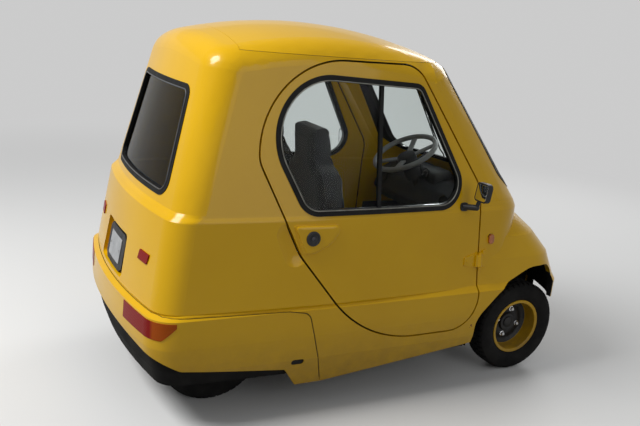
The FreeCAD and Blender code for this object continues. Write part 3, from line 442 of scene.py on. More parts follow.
def soft_block(shape, size, place, rounding, segments=3):
    """A box of (x, y, z) millimetres about its own middle, with rounded edges, moved into place."""
    made = bmesh.ops.create_cube(shape, size=1.0)["verts"]
    bmesh.ops.scale(shape, vec=[0.001 * side for side in size], verts=made)
    edges = list({edge for vert in made for edge in vert.link_edges})
    made = bmesh.ops.bevel(shape, geom=edges, offset=0.001 * rounding, affect="EDGES", segments=segments,
                           profile=0.5, material=-1, clamp_overlap=True)
    island = list({vert for face in made["faces"] for vert in face.verts})
    bmesh.ops.transform(shape, matrix=place, verts=island)
    return island


def slab(shape, corners, depth, place, rounding):
    """A flat plate from (x, y) corners in millimetres, thickened along its own Z, its top edge rounded."""
    ring = [shape.verts.new((0.001 * x, 0.001 * y, 0.0)) for x, y in corners]
    face = shape.faces.new(ring)
    top = points_of(bmesh.ops.extrude_face_region(shape, geom=[face])["geom"])
    bmesh.ops.translate(shape, vec=(0, 0, 0.001 * depth), verts=top)
    if not face.is_valid:
        shape.faces.new(list(reversed(ring)))
    rim = [edge for edge in {e for v in top for e in v.link_edges} if all(v in top for v in edge.verts)]
    grown = bmesh.ops.bevel(shape, geom=rim, offset=0.001 * rounding, affect="EDGES", segments=2, profile=0.5,
                            material=-1, clamp_overlap=True)
    made = list({v for v in ring + top if v.is_valid} | set(grown["verts"]))
    bmesh.ops.transform(shape, matrix=place, verts=made)


def rounded_outline(corners, steps=6):
    """The outline of (a, b, radius) corners as points, each corner turned in a few steps."""
    points = []
    for i, (x, y, radius) in enumerate(corners):
        here = Vector((x, y))
        before = (Vector(corners[i - 1][:2]) - here).normalized()
        after = (Vector(corners[(i + 1) % len(corners)][:2]) - here).normalized()
        half = 0.5 * before.angle(after)
        centre = here + (before + after).normalized() * (radius / math.sin(half))
        first = here + before * (radius / math.tan(half)) - centre
        last = here + after * (radius / math.tan(half)) - centre
        sweep = first.angle_signed(last)
        for step in range(steps + 1):
            turn = -sweep * step / steps
            points.append(centre + Matrix.Rotation(turn, 2) @ first)
    return points


def plain_outline(half_a, half_b, radius, steps):
    """A rounded rectangle about its own middle, as (a, b) points."""
    corners = [(a * half_a, b * half_b, radius) for a, b in ((-1, -1), (1, -1), (1, 1), (-1, 1))]
    return [tuple(spot) for spot in rounded_outline(corners, steps)]


LONGEST_RUN = 30.0


def offset_outline(corners, inwards):
    """The rounded outline moved inwards, with no long run between two points."""
    ring = rounded_outline(corners, 10)
    points = []
    for i, here in enumerate(ring):
        before = ring[i - 1]
        after = ring[(i + 1) % len(ring)]
        if (after - here).length < 0.01:
            continue
        along = (after - before).normalized()
        start = here + Vector((-along.y, along.x)) * inwards
        following = ring[(i + 2) % len(ring)]
        ahead_run = (following - here).normalized()
        finish = after + Vector((-ahead_run.y, ahead_run.x)) * inwards
        pieces = max(1, math.ceil((after - here).length / LONGEST_RUN))
        points += [start.lerp(finish, share / pieces) for share in range(pieces)]
    return points


def wire(name, points, radius, body, finish, closed=False, sides=3):
    """A rod or bead of constant thickness through points in metres."""
    route = bpy.data.curves.new(name, "CURVE")
    route.dimensions = "3D"
    route.bevel_depth = radius
    route.bevel_resolution = sides
    route.use_fill_caps = True
    line = route.splines.new("POLY")
    line.points.add(len(points) - 1)
    for spot, place in zip(line.points, points):
        spot.co = (*place, 1.0)
    line.use_cyclic_u = closed
    holder = in_scene(name, route)
    mesh = evaluated_mesh(holder)
    bpy.data.objects.remove(holder)
    return finish_piece(name, mesh, body, finish, 50.0)


# Tyres and wheels

TREAD_STEPS = 176
TREAD_DEPTH = 0.0055
# Half of the tyre's section, from bead to middle. Columns: radius, distance from the wheel's middle
TYRE_HALF = (
    (128.6, 41.3), (137.8, 44.3), (141.0, 48.5), (146.0, 52.5), (150.0, 53.5), (153.0, 56.0), (165.0, 60.4),
    (178.0, 62.0), (190.0, 61.6), (200.0, 59.6), (208.0, 56.4), (213.0, 54.6), (214.5, 51.8), (219.5, 49.0),
    (222.6, 44.0), (223.8, 38.0), (224.4, 28.0), (217.5, 27.0), (217.5, 23.5), (224.6, 22.5), (224.9, 6.0),
    (218.0, 5.0), (218.0, 1.8), (224.9, 0.8),
)


def tyre_shape(centre):
    def build(shape):
        profile = list(TYRE_HALF) + [(r, -h) for r, h in reversed(TYRE_HALF)]
        turned(shape, profile, TREAD_STEPS, Matrix.Identity(4), closed=True)
        close_up(shape)
        step = 2 * math.pi / TREAD_STEPS
        grooves = []
        for face in shape.faces:
            middle = face.calc_center_median()
            radius = math.hypot(middle.x, middle.y)
            across = abs(middle.z)
            turn = int((math.atan2(middle.y, middle.x) % (2 * math.pi)) / step)
            place_in_four = (turn + (2 if middle.z > 0 else 0)) % 4
            shoulder = 0.0285 < across < 0.0530 and radius > 0.2150
            rib = 0.0065 < across < 0.0222 and radius > 0.2240
            if (shoulder and place_in_four == 0) or (rib and place_in_four == 1):
                grooves.append(face)
        for vert in set_off(shape, grooves):
            radius = math.hypot(vert.co.x, vert.co.y)
            drop = (radius - TREAD_DEPTH) / radius
            vert.co.x *= drop
            vert.co.y *= drop
        place = shift(centre) @ Matrix.Rotation(math.radians(-90), 4, "X")
        bmesh.ops.transform(shape, matrix=place, verts=shape.verts)
    return build


# The black cover in the wheel's dish; its black is partly painted shade standing for the shadow in the dish. Columns:
# radius, height outwards from the wheel's middle
HUB_COVER = (
    (115.0, -17.2), (113.5, -15.4), (108.0, -18.5), (100.0, -24.0), (92.0, -25.5), (84.0, -24.0), (76.0, -20.5),
    (58.0, -19.5), (52.0, -21.5), (47.5, -21.0), (46.5, -12.5), (43.5, -9.0), (34.0, -8.4), (31.0, -9.8),
    (27.5, -9.6), (26.0, -5.5), (20.0, -2.6), (9.0, -1.2), (0.0, -1.0),
)
NUT_CIRCLE = 67.0
NUT_COUNT = 4


def wheel_details(tag, body, centre, side):
    face_out = facing(centre, Vector((0.0, side, 0.0)))

    def cover(shape):
        turned(shape, HUB_COVER, 72, Matrix.Identity(4))
        close_up(shape)
        vents = []
        for face in shape.faces:
            middle = face.calc_center_median()
            turn = int((math.degrees(math.atan2(middle.y, middle.x)) % 360.0) // 5.0)
            if 0.0855 < math.hypot(middle.x, middle.y) < 0.1045 and turn % 9 < 4:
                vents.append(face)
        bmesh.ops.translate(shape, vec=(0, 0, -0.0016), verts=set_off(shape, vents))
        bmesh.ops.transform(shape, matrix=face_out, verts=shape.verts)

    # The cover's black is partly painted shade of the dish.
    piece("hub_cover_" + tag, body, hub_cover_and_shade, cover)

    def nuts(shape):
        for count in range(NUT_COUNT):
            spot = face_out @ (turn_z(75.0 + 360.0 * count / NUT_COUNT) @ shift((0.001 * NUT_CIRCLE, 0, -0.0198)))
            turned(shape, ((13.0, 0.0), (13.0, 1.6), (9.5, 2.2), (0.0, 2.2)), 24, spot)
            turned(shape, ((9.6, 1.6), (9.6, 10.0), (8.2, 12.0), (5.2, 12.4), (5.0, 15.0), (3.8, 16.0),
                           (0.0, 16.0)), 6, spot)

    piece("wheel_nuts_" + tag, body, nut_chrome, nuts, 25.0)
    spun("tyre_valve_" + tag, body, mat_rubber,
         ((5.5, 0.0), (5.2, 4.0), (3.2, 7.0), (3.2, 22.0), (4.2, 22.4), (4.2, 31.0), (2.6, 33.0), (0.0, 33.0)), 16,
         face_out @ turn_z(210.0) @ shift((0.104, 0, -0.020)))


# Columns: axle, x, distance of the wheel's middle from the car's middle
for axle, axle_x, wheel_y in (("front", 1890.0, 450.0), ("rear", 385.0, 292.0)):
    for side_name, side in SIDES:
        wheel_body = axle + "_wheel_" + side_name
        centre = at(axle_x, side * wheel_y, GROUND_TO_AXLE)
        node = axle + "_tyre_" + side_name
        tread = piece("treaded_" + node, wheel_body, tyre_rubber, tyre_shape(centre))
        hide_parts(node)
        wheel_details(axle + "_" + side_name, wheel_body, centre, side)


# Beads, locks and mirrors on the doors

# Outlines of openings. Columns: x or y, z, corner radius
SIDE_WINDOW = ((647.0, 852.0, 100.0), (1488.0, 855.0, 110.0), (1177.0, 1374.0, 60.0), (520.0, 1400.0, 235.0),
               (520.0, 1090.0, 250.0))
REAR_WINDOW = ((-370.0, 892.0, 62.0), (370.0, 892.0, 62.0), (312.0, 1312.0, 50.0), (-312.0, 1312.0, 50.0))
DOOR_OUTLINE = ((954.0, 300.0, 550.0), (1549.0, 300.0, 150.0), (1520.0, 945.0, 150.0), (1154.0, 1450.0, 130.0),
                (453.0, 1450.0, 360.0), (453.0, 1060.0, 120.0), (635.0, 690.0, 300.0))
LOCK_PAD = ((604.0, 817.0, 10.0), (822.0, 815.0, 22.0), (763.0, 740.0, 60.0), (694.0, 706.0, 28.0),
            (657.0, 706.0, 14.0))
# The raised pad's rings from its rim inwards. Columns: share of the outline, height above the door's skin
PAD_RINGS = ((1.0, -0.6), (0.995, 2.4), (0.97, 3.6), (0.90, 3.6), (0.72, 3.4), (0.45, 3.2), (0.15, 3.1))
PAD_MIDDLE = (712.0, 766.0)
MIRROR_OUTLINE = ((578.5, 911.5, 9.0), (646.5, 911.5, 14.0), (655.5, 984.5, 13.0), (589.0, 982.5, 9.0))
BEAD_INSET = 21.0
DOOR_GAP = 7.5
# The strip lies this deep in the gap, in metres, and the slope of a panel is taken as no flatter than this
STRIP_DEPTH = 0.020
FLATTEST_SLOPE = 0.45


def bead_points(corners, cast):
    """A line that lies on the seal, some way in from the opening's outline."""
    hits = [cast(a, b) for a, b in offset_outline(corners, BEAD_INSET)]
    return [place + 0.0006 * normal for place, normal in hits if place is not None]


BODY_PANELS = node_tree_of("rear_shell", "front_shell", "windscreen_frame", "sill_panels", "roof_panel")


def strip_points(panel, side):
    """The middle of the gap round a door, some way below the paint."""
    spots = []
    outside = offset_outline(DOOR_OUTLINE, -4.0)
    inside = offset_outline(DOOR_OUTLINE, DOOR_GAP + 4.0)
    for outer, inner in zip(outside, inside):
        on_body = from_side(BODY_PANELS, outer.x, outer.y, side)[0]
        on_door, outward = from_side(panel, inner.x, inner.y, side)
        if on_body is not None and on_door is not None:
            depth = STRIP_DEPTH / max(FLATTEST_SLOPE, abs(outward.y))
            spots.append((on_body + on_door) / 2 - Vector((0, side * depth, 0)))
    return spots


for side_name, side in SIDES:
    door = "door_" + side_name
    seal = node_tree_of("door_seal_" + side_name)
    # A bead on the window seal; its pale grey is a painted highlight.
    wire("window_bead_" + side_name, bead_points(SIDE_WINDOW, lambda x, z: from_side(seal, x, z, side)), 0.0022,
         door, bead_highlight, closed=True)
    panel = node_tree_of(door)
    wire("weatherstrip_" + side_name, strip_points(panel, side), 0.0036, "body", seal_rubber,
         closed=True)

    def lock_pad(shape):
        middle = Vector(PAD_MIDDLE)
        loops = []
        for share, height in PAD_RINGS:
            places = []
            for spot in rounded_outline(LOCK_PAD, 8):
                moved = middle + share * (spot - middle)
                on_door, normal = from_side(panel, moved.x, moved.y, side)
                places.append(on_door + 0.001 * height * normal)
            loops.append(closed_loop(shape, places))
        for low, high in zip(loops, loops[1:]):
            bmesh.ops.bridge_loops(shape, edges=low + high)
        bmesh.ops.holes_fill(shape, edges=loops[-1], sides=0)

    piece("lock_pad_" + side_name, door, body_yellow, lock_pad, 80.0)
    place, outward = from_side(panel, 682.0, 767.0, side)
    place = place + 0.003 * outward
    spun("door_lock_" + side_name, door, trim_plastic,
         ((30.0, -2.0), (30.0, 2.4), (28.6, 4.6), (25.0, 5.4), (21.5, 4.8), (19.5, 2.2), (12.0, 1.4), (11.4, 3.2),
          (0.0, 3.4)), 48, facing(place, outward))

    def lock_barrel(shape):
        spot = facing(place + 0.0034 * outward, outward)
        turned(shape, ((8.6, -0.5), (8.6, 1.4), (7.8, 2.0), (6.0, 2.0), (5.6, 1.2), (0.0, 1.2)), 32, spot)
        soft_block(shape, (1.6, 8.4, 1.0), spot @ shift((0, 0, 0.0014)), 0.3, 2)

    piece("lock_barrel_" + side_name, door, lock_metal, lock_barrel)

    def mirror_glass(shape):
        rearwards = Matrix(((0, 0, -1, 0), (side, 0, 0, 0), (0, 1, 0, 0), (0, 0, 0, 1)))
        outline = [tuple(spot) for spot in rounded_outline(MIRROR_OUTLINE)]
        slab(shape, outline, 1.2, shift(at(1438.2, 0, 0)) @ rearwards, 0.5)

    piece("mirror_glass_" + side_name, door, mirror_silver, mirror_glass)

    def pull_handle(shape):
        soft_block(shape, (150.0, 14.0, 26.0), shift(at(700.0, side * 505.0, 760.0)), 6.0)
        for x in (638.0, 762.0):
            soft_block(shape, (22.0, 34.0, 24.0), shift(at(x, side * 517.0, 760.0)), 5.0)

    piece("inner_pull_" + side_name, door, trim_plastic, pull_handle)

    def hinge_screws(shape):
        for x, z in ((1462.0, 618.0), (1500.0, 634.0), (1500.0, 602.0)):
            place = facing(*from_side(panel, x, z, side))
            turned(shape, ((5.0, -0.5), (5.0, 0.8), (3.8, 1.8), (0.0, 2.0)), 20, place)

    piece("hinge_screws_" + side_name, door, body_yellow, hinge_screws)

    spot, normal = from_side(node_tree_of("turn_lamps"), 1597.0, 709.0, side)

    def marker_ring(shape):
        edges = []
        for outline in (plain_outline(17.0, 24.0, 15.0, 6), plain_outline(14.0, 21.0, 13.5, 6)):
            edges += closed_loop(shape, [(0.001 * a, 0.001 * b, 0.0) for a, b in outline])
        face_ring = bmesh.ops.bridge_loops(shape, edges=edges)["faces"]
        bmesh.ops.solidify(shape, geom=face_ring, thickness=0.005)
        bmesh.ops.transform(shape, matrix=facing(spot - 0.0088 * normal, Vector((0, side, 0))), verts=shape.verts)

    piece("marker_ring_" + side_name, "body", trim_plastic, marker_ring)


back_seal = node_tree_of("window_seals")
# A bead on the rear window's seal; its grey is a painted soft reflection.
wire("rear_window_bead", bead_points(REAR_WINDOW, lambda y, z: from_rear(back_seal, y, z)), 0.0024, "body",
     rear_bead_reflection, closed=True)


# Headlamps. Columns: radius, distance out from the lamp's seat

LAMP_BOWL = ((58.6, -6.0), (57.0, -14.0), (49.0, -34.0), (34.0, -52.0), (16.0, -62.0), (0.0, -64.0))
LAMP_LENS = ((56.8, -3.0), (56.6, 1.0), (52.0, 5.2), (42.0, 8.6), (28.0, 11.0), (14.0, 12.2), (0.0, 12.6),
             (0.0, 9.6), (14.0, 9.2), (28.0, 8.0), (42.0, 5.6), (51.0, 2.4), (54.0, -3.0))
LAMP_RING = ((71.0, 6.4), (70.0, 9.6), (66.0, 11.2), (60.0, 9.6), (57.2, 4.2), (57.0, -6.0), (59.4, -6.0),
             (59.4, 6.4))
LAMP_BULB = ((9.0, -60.0), (9.0, -46.0), (7.4, -45.0), (7.6, -30.0), (6.0, -25.0), (0.0, -23.5))

# Columns: name, finish, slot, profile, steps round it, whether it is closed
LAMP_PARTS = (("bowl", bowl_chrome, "lamp_clear", LAMP_BOWL, 48, False),
              ("lens", lamp_glass, "lamp_clear", LAMP_LENS, 48, True),
              ("ring", trim_plastic, "trim_black", LAMP_RING, 56, True),
              ("bulb", lamp_glass, "lamp_clear", LAMP_BULB, 20, False))

for side_name, side in SIDES:
    lamp_place = facing(at(2097.0, side * 300.0, 548.0), Vector((1.0, 0.0, 0.0)))
    for part, finish, slot, profile, steps, closed in LAMP_PARTS:
        made = spun("lamp_" + part + "_" + side_name, "body", finish, profile, steps, lamp_place, closed)
        if part == "bowl":
            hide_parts("headlamps")


# Screws of the number plate

def plate_screws(shape):
    plate = node_tree_of("number_plate")
    for y in (-66.0, 66.0):
        turned(shape, ((4.6, -0.4), (4.6, 1.2), (3.4, 2.0), (1.2, 2.0), (1.0, 1.2), (0.0, 1.2)), 20,
               facing(*from_rear(plate, y, 589.0)))


piece("plate_screws", "body", screw_steel, plate_screws)


# Wipers: pivot cap, arm, bridge and rubber on the glass

screen = node_tree_of("windscreen", "window_seals", "windscreen_frame", "front_shell")
WIPER_LOW = 935.0
WIPER_REACH = 365.0
# Columns: share of the wiper's length, height above the glass
ARM_PATH = [(-0.10, 16.0)] + [(0.08 * i, 17.0) for i in range(8)]
BRIDGE_PATH = ((0.34, 10.0), (0.45, 14.0), (0.56, 18.0), (0.68, 14.0), (0.84, 10.0))
RUBBER_PATH = [(0.24 + 0.076 * i, 7.0) for i in range(11)]

# Columns: name, pivot y, tip y
for wiper_name, pivot_y, tip_y in (("left", 170.0, 60.0), ("right", -190.0, -300.0)):
    def along(path):
        places = []
        for share, height in path:
            place, normal = from_front(screen, pivot_y + share * (tip_y - pivot_y), WIPER_LOW + share * WIPER_REACH)
            places.append(place + 0.001 * height * normal)
        return places

    arm = wire("wiper_arm_" + wiper_name, along(ARM_PATH), 0.0036, "body", trim_plastic, sides=2)
    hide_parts("wipers")
    wire("wiper_bridge_" + wiper_name, along(BRIDGE_PATH), 0.0026, "body", trim_plastic, sides=1)
    wire("wiper_rubber_" + wiper_name, along(RUBBER_PATH), 0.0034, "body", mat_rubber, sides=1)
    spun("wiper_pivot_" + wiper_name, "body", trim_plastic,
         ((15.0, -2.0), (15.0, 5.0), (11.0, 8.0), (10.0, 18.0), (7.5, 22.0), (0.0, 23.0)), 28,
         facing(*from_front(screen, pivot_y, 896.0)))


# Steering wheel pad and stalks

wheel_axis = Vector((-0.5, 0.0, 0.866)).normalized()
wheel_place = facing(at(1541.0, 130.0, 960.0), wheel_axis)

spun("steering_pad", "steering_wheel", dash_plastic,
     ((50.0, -46.0), (50.0, -22.0), (46.0, -14.0), (34.0, -9.0), (16.0, -7.2), (0.0, -7.0)), 56, wheel_place)


def stalks(shape):
    for turn in (90.0, -90.0):
        for share in range(4):
            reach = 34.0 + 26.0 * share
            spot = wheel_place @ turn_z(turn) @ shift((0.001 * reach, 0.0, -0.072 + 0.001 * share))
            soft_block(shape, (30.0, 11.0 + 1.4 * share, 7.0), spot, 2.6, 2)


piece("column_stalks", "body", trim_plastic, stalks)
spun("column_shroud", "body", dash_plastic,
     ((24.0, -150.0), (40.0, -146.0), (44.0, -120.0), (42.0, -70.0), (34.0, -62.0), (23.0, -60.0)), 32, wheel_place)


# Dashboard: hooded dials, vents, switches and glovebox lid

def dial_hood(shape):
    island = soft_block(shape, (120.0, 250.0, 70.0), shift(at(1716.0, 130.0, 852.0)), 24.0, 4)
    for vert in island:
        if vert.co.x < at(1700.0, 0, 0).x:
            vert.co.z -= 0.012


piece("dial_hood", "body", dash_plastic, dial_hood)

dial_turn = Vector((-0.94, 0.0, 0.34)).normalized()
# Columns: name, y, radius
for dial_name, dial_y, dial_r in (("speed", 172.0, 42.0), ("charge", 88.0, 30.0)):
    spot = facing(at(1652.0, dial_y, 858.0), dial_turn)
    spun("dial_ring_" + dial_name, "body", trim_plastic,
         ((dial_r, -8.0), (dial_r, 2.0), (dial_r - 2.0, 3.0), (dial_r - 4.0, 1.0), (dial_r - 4.5, -2.0)), 40, spot)
    spun("dial_face_" + dial_name, "body", trim_plastic,
         ((dial_r - 4.2, -2.6), (dial_r - 6.0, -1.6), (4.0, -1.4), (3.4, 1.6), (0.0, 1.8)), 40, spot)

    def dial_marks(shape):
        for mark in range(11):
            place = spot @ turn_z(-120.0 + 24.0 * mark) @ shift((0, 0.001 * (dial_r - 11.0), -0.0004))
            soft_block(shape, (1.6, 7.0, 0.8), place, 0.2, 1)
        needle = spot @ turn_z(118.0) @ shift((0, 0.0004 * dial_r, 0.0012))
        soft_block(shape, (2.0, 0.8 * dial_r, 1.0), needle, 0.3, 1)

    piece("dial_marks_" + dial_name, "body", dial_white, dial_marks)


dash_tree = node_tree_of("dashboard")


def from_cabin(y, z):
    """Where a line drawn forwards from the seats meets the dashboard."""
    return first_hit(dash_tree, at(1300.0, y, z), (1.0, 0.0, 0.0))


def dash_vents(shape):
    for y in (-410.0, -140.0, 410.0):
        frame_at = facing(*from_cabin(y, 770.0))
        turned(shape, ((34.0, -2.0), (34.0, 4.0), (31.0, 6.0), (28.0, 3.0), (27.0, -1.0)), 40, frame_at)
        for fin in range(-2, 3):
            soft_block(shape, (52.0 - 5.0 * abs(fin), 2.0, 6.0), frame_at @ shift((0, 0.010 * fin, 0.001)), 0.6, 1)


piece("dash_vents", "body", trim_plastic, dash_vents)


def dash_switches(shape):
    for count in range(5):
        soft_block(shape, (20.0, 14.0, 9.0), facing(*from_cabin(-20.0 - 28.0 * count, 728.0), 90.0), 2.5, 2)


piece("dash_switches", "body", trim_plastic, dash_switches)


def glovebox(shape):
    soft_block(shape, (250.0, 92.0, 5.0), facing(*from_cabin(-290.0, 730.0), 90.0), 2.4, 2)


piece("glovebox_lid", "body", dash_plastic, glovebox)


# Floor mats and pedals

def floor_mats(shape):
    for y in (128.0, -128.0):
        soft_block(shape, (470.0, 236.0, 5.0), shift(at(1660.0, y, 215.0)), 2.0, 2)
        for rib in range(17):
            soft_block(shape, (6.0, 210.0, 2.6), shift(at(1450.0 + 26.0 * rib, y, 218.0)), 1.0, 1)


piece("floor_mats", "body", mat_rubber, floor_mats)


def pedals(shape):
    tilt = Matrix.Rotation(math.radians(-52.0), 4, "Y")
    for y, wide in ((60.0, 46.0), (190.0, 60.0)):
        soft_block(shape, (88.0, wide, 8.0), shift(at(1862.0, y, 300.0)) @ tilt, 3.0, 2)
        soft_block(shape, (150.0, 12.0, 10.0), shift(at(1912.0, y, 262.0)) @ tilt, 3.0, 2)


piece("pedals", "body", trim_plastic, pedals)


# Underseal on the fenders' inner faces, and black plates deep in the bumper's slots, painted shade inside the slots

HUB_REACH = 0.04
ARCH_FRONT = 2030.0


def underseal_skin(side):
    hub = at(1890.0, side * 400.0, 300.0)
    arch_front = at(ARCH_FRONT, 0, 0).x
    # Columns: a place in the cutting plane, the direction that is cut off
    cuts = ((at(1570.0, 0, 0), (-1, 0, 0)), (at(0, side * 270.0, 0), (0, -side, 0)), (at(0, 0, 590.0), (0, 0, 1)),
            (at(0, 0, 330.0), (0, 0, -1)))

    def keeps_clear(face):
        """Whether a face looks away from the wheel, or is the lower edge of the fender beside it."""
        middle = face.calc_center_median()
        away = face.normal.dot(hub - middle) < HUB_REACH
        lower_edge = abs(face.normal.y) < 0.12 and face.normal.z < -0.2 and middle.x < arch_front
        return away or lower_edge

    def build(shape):
        shape.from_mesh(nodes["front_shell"].data)
        bmesh.ops.remove_doubles(shape, verts=shape.verts, dist=0.00005)
        for spot, away in cuts:
            everything = list(shape.verts) + list(shape.edges) + list(shape.faces)
            bmesh.ops.bisect_plane(shape, geom=everything, dist=0.00001, plane_co=spot, plane_no=away,
                                   clear_outer=True)
        bmesh.ops.delete(shape, geom=[face for face in shape.faces if keeps_clear(face)], context="FACES")
        for vert in shape.verts:
            vert.co += 0.0007 * vert.normal
    return build


slot_tree = node_tree_of("rear_bumper")
for side_name, side in SIDES:
    piece("underseal_" + side_name, "body", underseal, underseal_skin(side))

    # A black rubber plate set deep in the slot: painted shade of the slot's inside.
    def shade_plate(shape):
        spot = from_side(slot_tree, 657.0, 275.0, side)[0]
        spot.z = 0.250
        slab(shape, plain_outline(31.0, 15.0, 14.0, 8), 18.0,
             facing(spot - Vector((0, side * 0.026, 0)), Vector((0, side, 0))), 2.0)

    piece("slot_shade_plate_" + side_name, "body", seal_rubber, shade_plate)


# Dark joint line round the bumper's upper edge

# The bumper seen from the side. Columns: x, z, corner radius
BUMPER_OUTLINE = ((787.0, 125.0, 1.0), (690.0, 462.0, 45.0), (600.0, 478.0, 60.0), (-40.0, 490.0, 1.0),
                  (-40.0, 380.0, 1.0), (173.0, 272.0, 60.0), (340.0, 250.0, 1.0), (607.0, 218.0, 15.0),
                  (673.0, 125.0, 12.0))
JOINT_INSET = 1.6
JOINT_REAR_Z = 487.0
JOINT_BEND_Z = 455.0
JOINT_REAR_Y = (560.0, 545.0, 520.0, 480.0, 420.0)


def along_joint(spot):
    """How far a spot lies along the joint, from the bumper's front foot up and back."""
    if spot.y > JOINT_BEND_Z:
        return spot.y - 3.0 * spot.x
    return spot.y - 3.0 * spot.x - 400.0


def bumper_joint():
    ring = [spot for spot in offset_outline(BUMPER_OUTLINE, JOINT_INSET)
            if (spot.y > JOINT_BEND_Z and spot.x > 95.0) or (spot.y > 132.0 and spot.x > 689.0)]
    ring.sort(key=along_joint)
    left, right = [[from_side(slot_tree, spot.x, spot.y, side)[0] for spot in ring] for side in (1.0, -1.0)]
    across = JOINT_REAR_Y + tuple(40.0 * step for step in range(9, -10, -1)) + tuple(-y for y in JOINT_REAR_Y[::-1])
    back = [from_rear(slot_tree, y, JOINT_REAR_Z)[0] for y in across]
    return [spot for spot in left + back + right[::-1] if spot is not None]


wire("bumper_joint", bumper_joint(), 0.0013, "body", seal_rubber, sides=2)


# Dark rubber lip under the nose, from wheel arch to wheel arch, hung where the nose's underside is in shadow: a sheet
# of painted shade

LIP_TOP = 396.5
LIP_DROP = 62.0
LIP_BEHIND = 9.0


def nose_shade_lip(shape):
    nose = node_tree_of("front_shell")
    top = []
    for step in range(-13, 14):
        skin = from_front(nose, 25.0 * step, 415.0)[0]
        top.append(shape.verts.new((skin.x - 0.001 * LIP_BEHIND, skin.y, 0.001 * LIP_TOP)))
    edges = [shape.edges.new(pair) for pair in zip(top, top[1:])]
    low = points_of(bmesh.ops.extrude_edge_only(shape, edges=edges)["geom"])
    bmesh.ops.translate(shape, vec=(0, 0, -0.001 * LIP_DROP), verts=low)
    bmesh.ops.recalc_face_normals(shape, faces=shape.faces)
    bmesh.ops.solidify(shape, geom=shape.faces, thickness=0.003)


# The lip's black is painted shade under the nose.
piece("nose_shade_lip", "body", seal_rubber, nose_shade_lip)


# Rust bloom on the sill below the door's front corner, right side

# Columns: x, z, radius
RUST_SPOTS = ((1523.0, 315.0, 5.5), (1529.0, 308.0, 2.6), (1517.0, 305.0, 2.0))


def rust_spot(shape):
    sill = node_tree_of("front_shell")
    for x, z, radius in RUST_SPOTS:
        turned(shape, ((radius, -0.3), (0.8 * radius, 0.35), (0.4 * radius, 0.5), (0.0, 0.5)), 14,
               facing(*from_side(sill, x, z, -1.0)))


piece("rust_spot", "body", rust, rust_spot)


# Seats. All of these lengths are in metres

VOXEL = 0.0068
SLACK = 0.010
LONGEST_MOVE = 0.014
SIMULATED_FRAMES = 20


def pad_form(node):
    """The left-hand solid of a seat node as an even skin of small faces, drawn in a little."""
    shape = bmesh.new()
    shape.from_mesh(nodes[node].data)
    bmesh.ops.remove_doubles(shape, verts=shape.verts, dist=0.00005)
    bmesh.ops.delete(shape, geom=[vert for vert in shape.verts if vert.co.y < 0], context="VERTS")
    bmesh.ops.recalc_face_normals(shape, faces=shape.faces)
    name = node + "_form"
    holder = in_scene(name, mesh_from(shape, name))
    remesh = holder.modifiers.new("even_skin", "REMESH")
    remesh.mode = "VOXEL"
    remesh.voxel_size = VOXEL
    even = evaluated_mesh(holder)
    holder.modifiers.clear()
    holder.data = even
    start = [vert.co - SLACK * vert.normal for vert in even.vertices]
    for vert, place in zip(even.vertices, start):
        vert.co = place
    return holder, start


def puff(holder, start):
    """Air pressure inside the cover, with each point held near where it began."""
    cover = holder.modifiers.new("cover", "CLOTH")
    cover.settings.use_pressure = True
    cover.settings.uniform_pressure_force = 4.0
    cover.settings.quality = 4
    cover.settings.effector_weights.gravity = 0.0
    cover.point_cache.frame_start = 1
    cover.point_cache.frame_end = SIMULATED_FRAMES
    for moment in range(1, SIMULATED_FRAMES + 1):
        bpy.context.scene.frame_set(moment)
    swollen = evaluated_mesh(holder)
    holder.modifiers.clear()
    holder.data = swollen
    for vert, origin in zip(swollen.vertices, start):
        move = vert.co - origin
        if move.length > LONGEST_MOVE:
            vert.co = origin + move * (LONGEST_MOVE / move.length)
    bpy.context.scene.frame_set(1)


def channel(distance, half_width, depth):
    """How deep a sewn channel is at a distance from its seam."""
    share = abs(distance) / half_width
    return depth * (1.0 - share * share) ** 2 if share < 1.0 else 0.0


SEAT_MIDDLE = 0.238
CROSS_SEAM_X = at(1235.0, 0, 0).x
HEADREST_SEAM_Z = 1.035
LUMBAR_SEAM_Z = 0.66
# Seams. Columns: distance from the seat's middle, half width, depth
CUSHION_SEAMS = ((-0.125, 0.014, 0.012), (0.125, 0.014, 0.012), (-0.042, 0.009, 0.006), (0.042, 0.009, 0.006))


def long_channels(vert):
    across = vert.co.y - SEAT_MIDDLE
    return sum(channel(across - seam, half, depth) for seam, half, depth in CUSHION_SEAMS)


def sew_cushion(mesh):
    for vert in mesh.vertices:
        if vert.normal.z > 0.3:
            sink = long_channels(vert) + channel(vert.co.x - CROSS_SEAM_X, 0.012, 0.008)
            vert.co -= sink * vert.normal


def sew_backrest(mesh):
    for vert in mesh.vertices:
        if vert.normal.x > 0.3:
            sink = channel(vert.co.z - HEADREST_SEAM_Z, 0.014, 0.010)
            if vert.co.z < HEADREST_SEAM_Z - 0.005:
                sink += long_channels(vert) + channel(vert.co.z - LUMBAR_SEAM_Z, 0.010, 0.006)
            vert.co -= sink * vert.normal


def seat_pieces(node, names, sew):
    """The driver's padded piece, on the left, and the passenger's, which is its mirror."""
    holder, start = pad_form(node)
    puff(holder, start)
    mesh = holder.data
    sew(mesh)
    bpy.data.objects.remove(holder)
    for name, mirror in zip(names, (1.0, -1.0)):
        shape = bmesh.new()
        shape.from_mesh(mesh)
        if mirror < 0:
            bmesh.ops.scale(shape, vec=(1, -1, 1), verts=shape.verts)
        bmesh.ops.recalc_face_normals(shape, faces=shape.faces)
        made = finish_piece(name, mesh_from(shape, name), "body", seat_cloth, 180.0)
        smooth = made.modifiers.new("smooth", "SUBSURF")
        smooth.levels = 1
        smooth.render_levels = 1
        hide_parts(node)


seat_pieces("seat_cushions", ("driver_cushion", "passenger_cushion"), sew_cushion)
seat_pieces("seat_backs", ("driver_backrest", "passenger_backrest"), sew_backrest)


# Headliner under the roof

